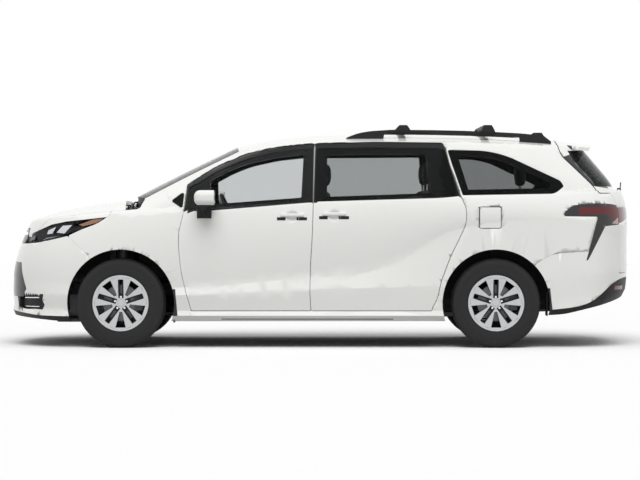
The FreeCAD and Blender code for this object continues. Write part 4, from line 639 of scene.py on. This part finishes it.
def stuffed(name, low, high, radius, voxel):
    """A block a little under size, remeshed, with the cloth that will fill it out."""
    slack = Vector((seat_slack, seat_slack, seat_slack))
    obj = rounded_block(name, Vector(low) + slack, Vector(high) - slack, radius)
    remesh = obj.modifiers.new("skin", "REMESH")
    remesh.mode = "VOXEL"
    remesh.voxel_size = voxel
    apply_modifiers(obj)
    cloth = obj.modifiers.new("filling", "CLOTH")
    cloth.settings.quality = 3
    cloth.settings.use_pressure = True
    cloth.settings.uniform_pressure_force = 4.0
    cloth.settings.effector_weights.gravity = 0.0
    return obj


def fill_out(pieces):
    """Runs the cloth of all the cushions, and keeps each point near where it began."""
    begun = {obj.name: [v.co.copy() for v in obj.data.vertices] for obj in pieces}
    for frame_number in range(1, cloth_frames + 1):
        bpy.context.scene.frame_set(frame_number)
    for obj in pieces:
        apply_modifiers(obj)
        for vertex, start in zip(obj.data.vertices, begun[obj.name]):
            move = vertex.co - start
            if move.length > seat_cloth_limit:
                vertex.co = start + move.normalized() * seat_cloth_limit
    bpy.context.scene.frame_set(1)


def groove(distance):
    """How deep a seam pulls the cover in at a distance from its line."""
    return seam_depth * math.exp(-(distance / seam_half) ** 2)


def sew(obj, facing, seams, inserts=()):
    """On the side that faces one way, pulls the cover in along its seams and sinks the inserts."""
    for vertex in obj.data.vertices:
        share = max(0.0, min(1.0, (vertex.normal.dot(facing) - 0.2) / 0.5))
        if share:
            pull = sum(groove(abs(seam(vertex.co))) for seam in seams)
            sink = insert_sink if any(insert(vertex.co) for insert in inserts) else 0.0
            vertex.co -= vertex.normal * share * pull + facing * share * sink
    smooth(obj, math.pi)
    return obj


def recline_back(obj):
    """Leans a backrest and thins it towards its top."""
    for vertex in obj.data.vertices:
        up_share = max(0.0, (vertex.co.z - back_low) / (seat_height - back_low))
        ahead = vertex.co.x - back_front
        vertex.co.x = back_front + ahead * (1 - 0.2 * up_share) + recline * (seat_height
                                                                             - back_low) * up_share
    return obj


back_front = seat_depth - 0.8 * back_thickness
back_low = -cushion_thickness / 2
rest_x = back_front + recline * (seat_height - back_low) + 0.01
rest_low = seat_height + headrest_lift
half_seat = seat_width / 2
half_bench = bench_width / 2
back_high = Vector((back_front + back_thickness, half_seat, seat_height))
cushion = stuffed("seat_cushion", (0, -half_seat, -cushion_thickness), (seat_depth, half_seat, 0), 0.035,
                  seat_voxel)
backrest = stuffed("seat_back", (back_front, -half_seat, back_low), back_high, 0.03, seat_voxel)
headrest_low = Vector((rest_x, -headrest_width / 2, rest_low))
headrest_high = headrest_low + Vector((headrest_depth, headrest_width, headrest_height))
headrest = stuffed("headrest", headrest_low, headrest_high, 0.03, seat_voxel)
bench = stuffed("bench_cushion", (0, -half_bench, -cushion_thickness), (seat_depth, half_bench, 0), 0.035,
                bench_voxel)
bench_back = stuffed("bench_back", (back_front, -half_bench, back_low),
                     (back_high.x, half_bench, back_high.z), 0.03,
                     bench_voxel)
fill_out([cushion, backrest, headrest, bench, bench_back])
up_way, ahead_way = Vector((0, 0, 1)), Vector((-1, 0, 0))
side_seams = [lambda p: p.y - insert_half, lambda p: p.y + insert_half]
inside = [lambda p: abs(p.y) < insert_half]
sew(cushion, up_way, side_seams + [lambda p: p.x - 0.10], inside)
sew(backrest, ahead_way, side_seams + [lambda p: p.z - 0.47], inside)
sew(headrest, ahead_way, [lambda p: p.z - rest_low - 0.05])
bench_seams = [lambda p: p.y - half_bench / 3, lambda p: p.y + half_bench / 3]
sew(bench, up_way, bench_seams + [lambda p: p.x - 0.10])
sew(bench_back, ahead_way, bench_seams + [lambda p: p.z - 0.45])
recline_back(backrest)
recline_back(bench_back)


def seat_frame(name, width, floor_height):
    """The plinth under a cushion and the two posts of a headrest."""
    plinth = rounded_block("seat_plinth" + name, (0.06, -0.4 * width, floor_height),
                           (seat_depth - 0.06, 0.4 * width, -cushion_thickness + 0.01), 0.012)
    posts = []
    for y in (-0.07, 0.07):
        bpy.ops.mesh.primitive_cylinder_add(vertices=16, radius=0.006, depth=0.10,
                                            location=(rest_x + headrest_depth / 2, y, seat_height + 0.01))
        posts.append(bpy.context.active_object)
    take(posts[0])
    posts[1].select_set(True)
    bpy.ops.object.join()
    bpy.ops.object.transform_apply(location=True, rotation=True, scale=True)
    posts[0].name = "headrest_posts" + name
    smooth(posts[0])
    return plinth, posts[0]


def height_at(node, x, y, from_z):
    """Height of a node's top at a place."""
    mesh = nodes[node].data
    tree = BVHTree.FromPolygons([v.co for v in mesh.vertices], [tuple(p.vertices) for p in mesh.polygons])
    return tree.ray_cast(Vector((x, y, from_z)), Vector((0, 0, -1)))[0].z


front_box, rear_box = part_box("front_seats"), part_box("rear_seats")
seat_y = front_box[1].y - half_seat
bench_x = rear_box[1].x - (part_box("front_seats")[1].x - front_box[0].x)
places = [("front_left", "front_seats", front_box[0].x, -seat_y, False),
          ("front_right", "front_seats", front_box[0].x, seat_y, False),
          ("middle_left", "rear_seats", rear_box[0].x, -seat_y, False),
          ("middle_right", "rear_seats", rear_box[0].x, seat_y, False),
          ("third_row", "rear_seats", bench_x, 0.0, True)]
replaced = set()
for name, node, x, y, wide in places:
    top = height_at(node, x + seat_depth / 3, y, 1.0)
    back_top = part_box(node)[1].z - headrest_height - headrest_lift if not wide else front_box[1].z - 0.22
    cushion_place = Matrix.Translation((x, y, top))
    back_place = Matrix.Translation((x, y, back_top - seat_height))
    kinds = (bench, bench_back, headrest) if wide else (cushion, backrest, headrest)
    for model, place, fill in zip(kinds, (cushion_place, back_place, back_place), (0.6, 0.6, 0.8)):
        piece = finish_piece(twin(model, model.name + "_" + name, place), "body", "seats", leather)
        if node not in replaced:
            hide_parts(node)
            replaced.add(node)
    floor_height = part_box(node)[0].z - top + (0.02 if wide else 0.0)
    plinth, posts = seat_frame("_" + name, bench_width if wide else seat_width, floor_height)
    finish_piece(moved(plinth, cushion_place), "body", "interior", soft_black)
    finish_piece(moved(posts, back_place), "body", "running_gear", chrome)
for model in (cushion, backrest, headrest, bench, bench_back):
    bpy.data.objects.remove(model)


# Details laid on the panels
def trimmed(name, corners, along_y, distance, cell):
    """A flat grid across an axis at a distance along it, trimmed to a convex outline."""
    area = sum(a[0] * b[1] - b[0] * a[1] for a, b in zip(corners, corners[1:] + corners[:1]))
    if area < 0:
        corners = corners[::-1]
    low = (min(c[0] for c in corners), min(c[1] for c in corners))
    high = (max(c[0] for c in corners), max(c[1] for c in corners))
    width, height = high[0] - low[0], high[1] - low[1]
    middle, level = (low[0] + high[0]) / 2, (low[1] + high[1]) / 2
    start = (middle, distance, level) if along_y else (distance, middle, level)
    bpy.ops.mesh.primitive_grid_add(x_subdivisions=max(2, round(width / cell)),
                                    y_subdivisions=max(2, round(height / cell)), size=1, location=start,
                                    rotation=(math.pi / 2, 0, 0 if along_y else math.pi / 2))
    obj = bpy.context.active_object
    obj.name = name
    obj.scale = (width, height, 1)
    bpy.ops.object.transform_apply(location=True, rotation=True, scale=True)
    edit(obj)
    for a, b in zip(corners, corners[1:] + corners[:1]):
        run, rise = b[0] - a[0], b[1] - a[1]
        point = (a[0], 0, a[1]) if along_y else (0, a[0], a[1])
        away = (rise, 0, -run) if along_y else (0, rise, -run)
        bpy.ops.mesh.select_all(action="SELECT")
        bpy.ops.mesh.bisect(plane_co=point, plane_no=away, clear_outer=True)
    leave()
    return obj


def plate(name, corners, target, thickness, axis="Y", side=-1, depth=0.0, cell=0.012):
    """A thin sheet trimmed to an outline, laid on a panel seen along an axis, and thickened outward."""
    along_y = axis == "Y"
    obj = trimmed(name, corners, along_y, side * (1.3 if along_y else 3.2), cell)
    wrap = obj.modifiers.new("lay", "SHRINKWRAP")
    wrap.wrap_method = "PROJECT"
    wrap.target = target
    wrap.use_project_x = not along_y
    wrap.use_project_y = along_y
    wrap.use_positive_direction = side < 0
    wrap.use_negative_direction = side > 0
    apply_modifiers(obj)
    reach = 1.29 if along_y else 3.19
    pick(obj, lambda v: abs(v.co.y if along_y else v.co.x) > reach, "VERT")
    edit(obj)
    bpy.ops.mesh.delete(type="VERT")
    leave()
    facing = sum((p.normal.y if along_y else p.normal.x) * p.area for p in obj.data.polygons)
    if facing * side < 0:
        edit(obj)
        bpy.ops.mesh.select_all(action="SELECT")
        bpy.ops.mesh.flip_normals()
        leave()
    shift = Vector((0, -side * depth, 0)) if along_y else Vector((-side * depth, 0, 0))
    moved(obj, Matrix.Translation(shift))
    solid = obj.modifiers.new("thick", "SOLIDIFY")
    solid.thickness = thickness
    solid.offset = 1.0
    apply_modifiers(obj)
    smooth(obj)
    return obj


def plates(name, corners, node, thickness, slot, material, depth=0.0):
    """A plate on the left side of a panel and its mirrored twin on the right."""
    left = plate(name + "_left", corners, dressed[node], thickness, depth=depth)
    right = twin(left, name + "_right", mirror_y)
    for obj in (left, right):
        finish_piece(obj, body_of_node[node], slot, material)


dressed = {obj.name[:-len("_dressed")]: obj for obj in bpy.context.scene.objects
           if obj.name.endswith("_dressed")}
plates("lamp_reflector_low", [(-2.236, 0.925), (-2.192, 0.930), (-2.161, 0.984), (-2.229, 0.956)],
       "headlamps", 0.002,
       "lamp_clear", reflector, 0.008)
plates("lamp_reflector_high", [(-2.155, 0.938), (-2.086, 0.932), (-2.024, 1.000), (-2.104, 0.994)],
       "headlamps", 0.002,
       "lamp_clear", reflector, 0.008)
plates("lamp_marker", [(-1.930, 0.990), (-1.802, 1.022), (-1.765, 1.055), (-1.846, 1.046), (-1.965, 1.004)],
       "headlamps", 0.002, "lamp_clear", lamp_amber, 0.005)
plates("lamp_day_light", [(-2.402, 0.862), (-2.350, 0.882), (-2.342, 0.936), (-2.380, 0.930)], "headlamps",
       0.002,
       "lamp_clear", dull_silver, 0.006)
plates("lamp_lower_trim", [(-2.296, 0.868), (-2.170, 0.900), (-2.100, 0.915), (-2.236, 0.896)], "headlamps",
       0.002,
       "lamp_clear", dull_silver, 0.003)
plates("tail_reverse_light", [(2.392, 1.014), (2.456, 1.008), (2.492, 1.060), (2.458, 1.067)], "tail_lamps",
       0.001,
       "lamp_clear", dull_pink)
fog = [(-2.462, 0.322), (-2.290, 0.322), (-2.272, 0.370), (-2.290, 0.415), (-2.462, 0.408)]
plates("fog_insert", fog, "front_bumper", 0.002, "dark_plastic", satin_black)
plates("fog_strip_high", [(-2.455, 0.396), (-2.300, 0.402), (-2.300, 0.410), (-2.455, 0.404)],
       "front_bumper", 0.006,
       "dark_plastic", chrome)
plates("fog_strip_low", [(-2.460, 0.326), (-2.300, 0.328), (-2.300, 0.334), (-2.460, 0.332)],
       "front_bumper", 0.006,
       "dark_plastic", chrome)
plates("sill_line", [(-0.80, 0.2325), (0.60, 0.2325), (0.60, 0.2385), (-0.80, 0.2385)], "lower_valances",
       0.001,
       "dark_plastic", satin_black)
# Painted shade: thin satin-black plates on the front and sliding doors stand in for the shade in the handles'
# recesses.
handle_shade_ends = (-0.348, -0.278, -0.188, -0.104)
slide_shift = 0.3427
for i, (start, end) in enumerate(((handle_shade_ends[0], handle_shade_ends[1]), (handle_shade_ends[2], handle_shade_ends[3]))):
    shadow = [(start, 1.040), (end, 1.040), (end, 1.065), (start, 1.065)]
    left = plate("handle_well_%d_left" % i, shadow, dressed["front_door_left"], 0.001)
    finish_piece(left, "front_door_left", "dark_plastic", satin_black)
    right = twin(left, "handle_well_%d_right" % i, mirror_y)
    finish_piece(right, "front_door_right", "dark_plastic", satin_black)
    further = [(x + slide_shift, z + 0.009) for x, z in shadow]
    plates("sliding_handle_well_%d" % i, further, "sliding_doors", 0.001, "dark_plastic", satin_black)

# Mud flaps
for name, x, low_z, high_z, inner, outer in (("front", -1.188, 0.205, 0.30, 0.80, 0.945),
                                            ("rear", 1.855, 0.26, 0.46, 0.80, 0.945)):
    flap = rounded_block("mud_flap_%s_right" % name, (x - 0.005, inner, low_z), (x + 0.005, outer, high_z),
                         0.0035)
    finish_piece(flap, "body", "dark_plastic", rubber)
    finish_piece(twin(flap, "mud_flap_%s_left" % name, mirror_y), "body", "dark_plastic", rubber)

# Mirror glasses
for side_name in ("left", "right"):
    low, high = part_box("mirror_" + side_name)
    outer = low.y if side_name == "left" else high.y
    inner = outer + (0.165 if side_name == "left" else -0.165)
    rim = outer + (0.018 if side_name == "left" else -0.018)
    pane = [(rim, low.z + 0.125), (inner, low.z + 0.125), (inner, high.z - 0.020), (rim, high.z - 0.020)]
    glass = plate("mirror_glass_" + side_name, pane, dressed["mirror_" + side_name], 0.0015, "X", 1)
    finish_piece(glass, "front_door_" + side_name, "glass_clear", mirror_glass)

# Rear details
gate = dressed["tailgate"]
rear_bar = plate("gate_strip", [(-0.46, 1.062), (0.46, 1.062), (0.46, 1.086), (-0.46, 1.086)], gate, 0.0015,
                 "X", 1)
finish_piece(rear_bar, "tailgate", "dark_plastic", chrome)
high_lamp = plate("high_brake_lamp", [(-0.17, 1.655), (0.17, 1.655), (0.17, 1.669), (-0.17, 1.669)], gate,
                  0.002, "X", 1)
finish_piece(high_lamp, "tailgate", "lamp_red", lamp_red)
reflex = plate("bumper_reflector_right", [(0.64, 0.470), (0.80, 0.470), (0.80, 0.500), (0.64, 0.500)],
               dressed["lower_valances"], 0.002, "X", 1)
finish_piece(reflex, "body", "lamp_red", lamp_red)
finish_piece(twin(reflex, "bumper_reflector_left", mirror_y), "body", "lamp_red", lamp_red)

# Dashboard details
dash_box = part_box("dashboard")
screen = rounded_block("centre_screen", (dash_box[1].x - 0.035, -0.13, 1.02),
                       (dash_box[1].x - 0.012, 0.13, 1.15), 0.006)
finish_piece(screen, "body", "interior", screen_black)

# Wheels
def lathe(name, profile, turns, steps):
    """A profile of (radius, y) points spun round the Y axis by the angles in turns."""
    bpy.ops.mesh.primitive_plane_add(size=tyre_width, location=(0, 0, 0))
    obj = bpy.context.active_object
    obj.name = name
    edit(obj)
    bpy.ops.mesh.select_mode(type="VERT")
    bpy.ops.mesh.select_all(action="SELECT")
    bpy.ops.mesh.merge(type="CENTER")
    bpy.ops.transform.translate(value=(profile[0][0], profile[0][1], 0))
    for here, there in zip(profile, profile[1:]):
        bpy.ops.mesh.extrude_region_move(
            TRANSFORM_OT_translate={"value": (there[0] - here[0], there[1] - here[1], 0)})
    bpy.ops.mesh.select_all(action="SELECT")
    for angle, count in zip(turns, steps):
        bpy.ops.mesh.spin(steps=count, angle=angle, center=(0, 0, 0), axis=(0, 1, 0))
    leave()
    return obj


def closed(obj, distance=weld_distance):
    """Joins a piece's seams and turns its faces outward."""
    edit(obj)
    bpy.ops.mesh.select_all(action="SELECT")
    bpy.ops.mesh.remove_doubles(threshold=distance)
    bpy.ops.mesh.normals_make_consistent(inside=False)
    leave()
    return obj


def ring(obj, count, merge=False):
    """Repeats a piece round the Y axis."""
    bpy.ops.object.empty_add(location=(0, 0, 0), rotation=(0, 2 * math.pi / count, 0))
    turn = bpy.context.active_object
    array = obj.modifiers.new("ring", "ARRAY")
    array.use_relative_offset = False
    array.use_object_offset = True
    array.offset_object = turn
    array.count = count
    array.use_merge_vertices = merge
    array.use_merge_vertices_cap = merge
    array.merge_threshold = 1e-4
    bpy.context.view_layer.update()
    apply_modifiers(obj)
    bpy.data.objects.remove(turn)
    return obj


# Half of the tyre's section as (radius, distance from its middle), from the bead to the crown
bead = 0.2295
section = [(bead, 0.104), (0.2325, 0.1095), (0.240, 0.1100), (0.2425, 0.1130), (0.256, 0.1155),
           (0.270, 0.1168), (0.288, 0.1172), (0.2895, 0.1160), (0.2935, 0.1160), (0.295, 0.1172),
           (0.309, 0.1168), (0.3105, 0.1154), (0.3135, 0.1154), (0.315, 0.1160), (0.328, 0.1135),
           (0.340, 0.1095), (0.350, 0.1030), (0.3560, 0.0945), (0.3595, 0.0840), (0.3620, 0.0620),
           (0.3550, 0.0600), (0.3550, 0.0530), (0.3632, 0.0510), (0.3643, 0.0280), (0.3570, 0.0260),
           (0.3570, 0.0190), (0.3647, 0.0170), (0.3649, 0.0)]
pitch_count = 72
pitch = 2 * math.pi / pitch_count
sipe = 0.17 * pitch
sipe_depth = 0.005


def tyre():
    """A tyre with round grooves, cross cuts in its ribs and ridges on its walls."""
    outline = section + [(r, -y) for r, y in reversed(section[:-1])] + [section[0]]
    obj = lathe("tyre_tread", outline, ((pitch - sipe) / 2, sipe, (pitch - sipe) / 2), (1, 1, 1))
    cut_angle = pitch / 2

    def in_sipe(face):
        centre = face.center
        radius = math.hypot(centre.x, centre.z)
        angle = abs(math.atan2(centre.z, centre.x))
        rib = 0.028 < abs(centre.y) < 0.052 or 0.061 < abs(centre.y) < 0.099
        return radius > 0.352 and rib and abs(angle - cut_angle) < sipe / 2

    edit(obj)
    bpy.ops.mesh.select_all(action="SELECT")
    bpy.ops.mesh.remove_doubles(threshold=weld_distance)
    bpy.ops.mesh.normals_make_consistent(inside=False)
    leave()
    pick(obj, in_sipe)
    edit(obj)
    bpy.ops.mesh.extrude_region_shrink_fatten(TRANSFORM_OT_shrink_fatten={"value": -sipe_depth})
    leave()
    ring(obj, pitch_count, merge=True)
    closed(obj)
    smooth(obj, math.radians(32))
    return obj


hub_face = 0.0529
cap_outline = [(0.0, 0.0600), (0.012, 0.0598), (0.022, 0.0585), (0.029, 0.0560), (0.0315, 0.0535),
               (0.0315, 0.0527),
               (0.0290, 0.0527), (0.0290, 0.0450), (0.0, 0.0450)]
nut_circle = 0.0500
nut_radius = 0.0095
nut_height = 0.012


def wheel_trim():
    """Centre cap and five nuts."""
    cap = closed(lathe("wheel_cap", cap_outline, (2 * math.pi,), (48,)))
    smooth(cap)
    bpy.ops.mesh.primitive_cylinder_add(vertices=6, radius=nut_radius, depth=nut_height,
                                        rotation=(math.pi / 2, 0, 0),
                                        location=(0, hub_face + nut_height / 2 - 0.001, nut_circle))
    nuts = bpy.context.active_object
    nuts.name = "wheel_nuts"
    take(nuts)
    bpy.ops.object.transform_apply(location=True, rotation=True, scale=True)
    edit(nuts)
    bpy.ops.mesh.select_all(action="SELECT")
    bpy.ops.mesh.bevel(offset=nut_radius * 0.16, segments=2, affect="EDGES")
    leave()
    ring(nuts, 5)
    smooth(nuts)
    return cap, nuts


blade = [(0.020, 0.032), (0.026, 0.046), (0.076, 0.168), (0.083, 0.196), (0.026, 0.206), (0.022, 0.186),
         (0.0215, 0.060)]
slot_half = 0.022
slot_in, slot_out = 0.040, 0.192
blade_proud = 0.003
blade_thick = 0.016
face_rise = (0.106 - hub_face) / (0.215 - 0.062)


def face_height(radius):
    """How far the wheel's dished face stands from the wheel's middle."""
    return hub_face + face_rise * max(0.0, radius - 0.062)


def wheel_blades():
    """Ten tapered blades in pairs, one pair on each side of a nut's slot."""
    one = trimmed("wheel_blades", blade, True, 0.0, 0.008)
    other = twin(one, "other_blade", Matrix.Scale(-1, 4, Vector((1, 0, 0))))
    take(one)
    other.select_set(True)
    bpy.ops.object.join()
    for vertex in one.data.vertices:
        vertex.co.y = face_height(math.hypot(vertex.co.x, vertex.co.z)) + blade_proud
    edit(one)
    bpy.ops.mesh.select_all(action="SELECT")
    bpy.ops.mesh.normals_make_consistent(inside=False)
    leave()
    if sum(p.normal.y * p.area for p in one.data.polygons) < 0:
        edit(one)
        bpy.ops.mesh.select_all(action="SELECT")
        bpy.ops.mesh.flip_normals()
        leave()
    solid = one.modifiers.new("thick", "SOLIDIFY")
    solid.thickness = blade_thick
    solid.offset = -1.0
    edge = one.modifiers.new("edge", "BEVEL")
    edge.width = 0.0018
    edge.segments = 2
    edge.angle_limit = math.radians(50)
    apply_modifiers(one)
    ring(one, 5)
    smooth(one)
    return one


def slot_mask(axle_x):
    """1 in the five dark slots that run out from the nuts."""

    def mask(x, y, z):
        total = 0.0
        for k in range(5):
            angle = 2 * math.pi * k / 5
            sine, cosine = math.sin(angle), math.cos(angle)
            out = (x - axle_x) * sine + (z - tyre_radius) * cosine
            across = (x - axle_x) * cosine - (z - tyre_radius) * sine
            total = (across.size() < slot_half) * (out > slot_in) * (out < slot_out) + total
        return total

    return mask


def rim_chooser(axle_x, side):
    """0 bright spokes and lip, 1 dark barrel, 2 brake disc."""

    def chooser(face):
        away = (face.center.y - side * wheel_y) * side
        radius = math.hypot(face.center.x - axle_x, face.center.z - tyre_radius)
        outward = face.normal.y * side
        if away < 0.024 and radius < 0.1515:
            return 2
        if radius > 0.2125 and away > 0.085:
            return 0
        if radius > 0.205 and outward < 0.5:
            return 1
        if outward < -0.4:
            return 1
        return 0

    return chooser


tyre_model = tyre()
cap_model, nuts_model = wheel_trim()
blades_model = wheel_blades()
for end, axle_x in (("front", front_axle), ("rear", rear_axle)):
    slotted = two_tone("slotted_alloy_" + end, alloy_colour, (0.03, 0.03, 0.031), slot_mask(axle_x), 0.26,
                       0.45, 0.0, 1.0)
    for side_name, side in (("left", -1), ("right", 1)):
        place = "%s_%s" % (end, side_name)
        body = "wheel_" + place
        centre = Matrix.Translation((axle_x, side * wheel_y, tyre_radius))
        turned = centre if side > 0 else centre @ mirror_y
        rubber_ring = finish_piece(twin(tyre_model, "tyre_tread_" + place, turned), body, "tyre", tyre_black)
        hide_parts("tyre_" + place)
        dress("rim_" + place, rim_chooser(axle_x, side), slotted, dark_alloy, disc_steel)
        finish_piece(twin(blades_model, "wheel_blades_" + place, turned), body, "alloy", alloy)
        finish_piece(twin(cap_model, "wheel_cap_" + place, turned), body, "alloy", alloy)
        finish_piece(twin(nuts_model, "wheel_nuts_" + place, turned), body, "alloy", chrome)
for model in (tyre_model, cap_model, nuts_model, blades_model):
    bpy.data.objects.remove(model)

# Stage, light and camera
floor_size = 60.0
bpy.ops.mesh.primitive_plane_add(size=floor_size, location=(0, 0, 0))
floor = bpy.context.active_object
floor.name = "floor"
ground = Finish("white_floor")


def shown_ray(finish):
    """1 for what the camera sees, directly or by a mirror or through glass."""
    kinds = [finish.node("ShaderNodeLightPath", output="Is %s Ray" % kind)
             for kind in ("Camera", "Glossy", "Transmission")]
    return kinds[0].maths("MAXIMUM", kinds[0], kinds[1].maths("MAXIMUM", kinds[1], kinds[2]))


floor_shown = (0.93, 0.93, 0.93, 1.0)
floor_bounce = (0.42, 0.42, 0.42, 1.0)
sky_low, sky_high = 0.50, 0.51
sun_strength = 2.1
sun_tilt = math.radians(34)
sun_softness = math.radians(40)
pale = ground.node("ShaderNodeBsdfDiffuse", {}, {"Color": floor_shown})
dull = ground.node("ShaderNodeBsdfDiffuse", {}, {"Color": floor_bounce})
floor.data.materials.append(ground.surface(ground.node("ShaderNodeMixShader", {},
                                                       {0: shown_ray(ground), 1: dull, 2: pale})))


class Sky(Finish):
    """The world's own nodes."""

    def __init__(self, world):
        world.use_nodes = True
        self.tree = world.node_tree
        self.tree.nodes.clear()
        self.output = self.tree.nodes.new("ShaderNodeOutputWorld")


world = bpy.data.worlds.new("studio")
bpy.context.scene.world = world
sky = Sky(world)
height = sky.node("ShaderNodeSeparateXYZ", {}, {0: sky.node("ShaderNodeTexCoord", output="Generated")},
                  output="Z")
stops = [(0.0, (sky_low, sky_low, sky_low, 1.0)), (0.8, (sky_high, sky_high, sky_high, 1.0))]
colour = sky.node("ShaderNodeValToRGB", {"stops": stops}, {0: height})
light = sky.node("ShaderNodeBackground", {}, {"Color": colour, "Strength": 1.0})
white = sky.node("ShaderNodeBackground", {}, {"Color": (1, 1, 1, 1), "Strength": 1.0})
lit = sky.node("ShaderNodeMixShader", {}, {0: shown_ray(sky), 1: light, 2: white})
sky.tree.links.new(lit.socket, sky.output.inputs["Surface"])
bpy.ops.object.light_add(type="SUN", rotation=(sun_tilt, 0, 0), location=(0, -5, 8))
sun = bpy.context.active_object
sun.data.energy = sun_strength
sun.data.angle = sun_softness
sun.visible_glossy = False

picture_width = 640
metres_per_pixel = 0.00814
wheel_plane_y = -(wheel_y + tyre_width / 2)
camera_distance = 21.7
camera_height = 1.17
centre_x = 0.0023
centre_z = 0.880
sensor = 36.0
view_width = metres_per_pixel * picture_width
bpy.ops.object.camera_add(location=(centre_x, wheel_plane_y - camera_distance, camera_height),
                          rotation=(math.pi / 2, 0, 0))
camera = bpy.context.active_object
camera.data.sensor_width = sensor
camera.data.lens = sensor * camera_distance / view_width
camera.data.shift_y = (centre_z - camera_height) / view_width
camera.data.clip_end = 200.0
bpy.context.scene.camera = camera
bpy.context.scene.view_settings.view_transform = "Standard"
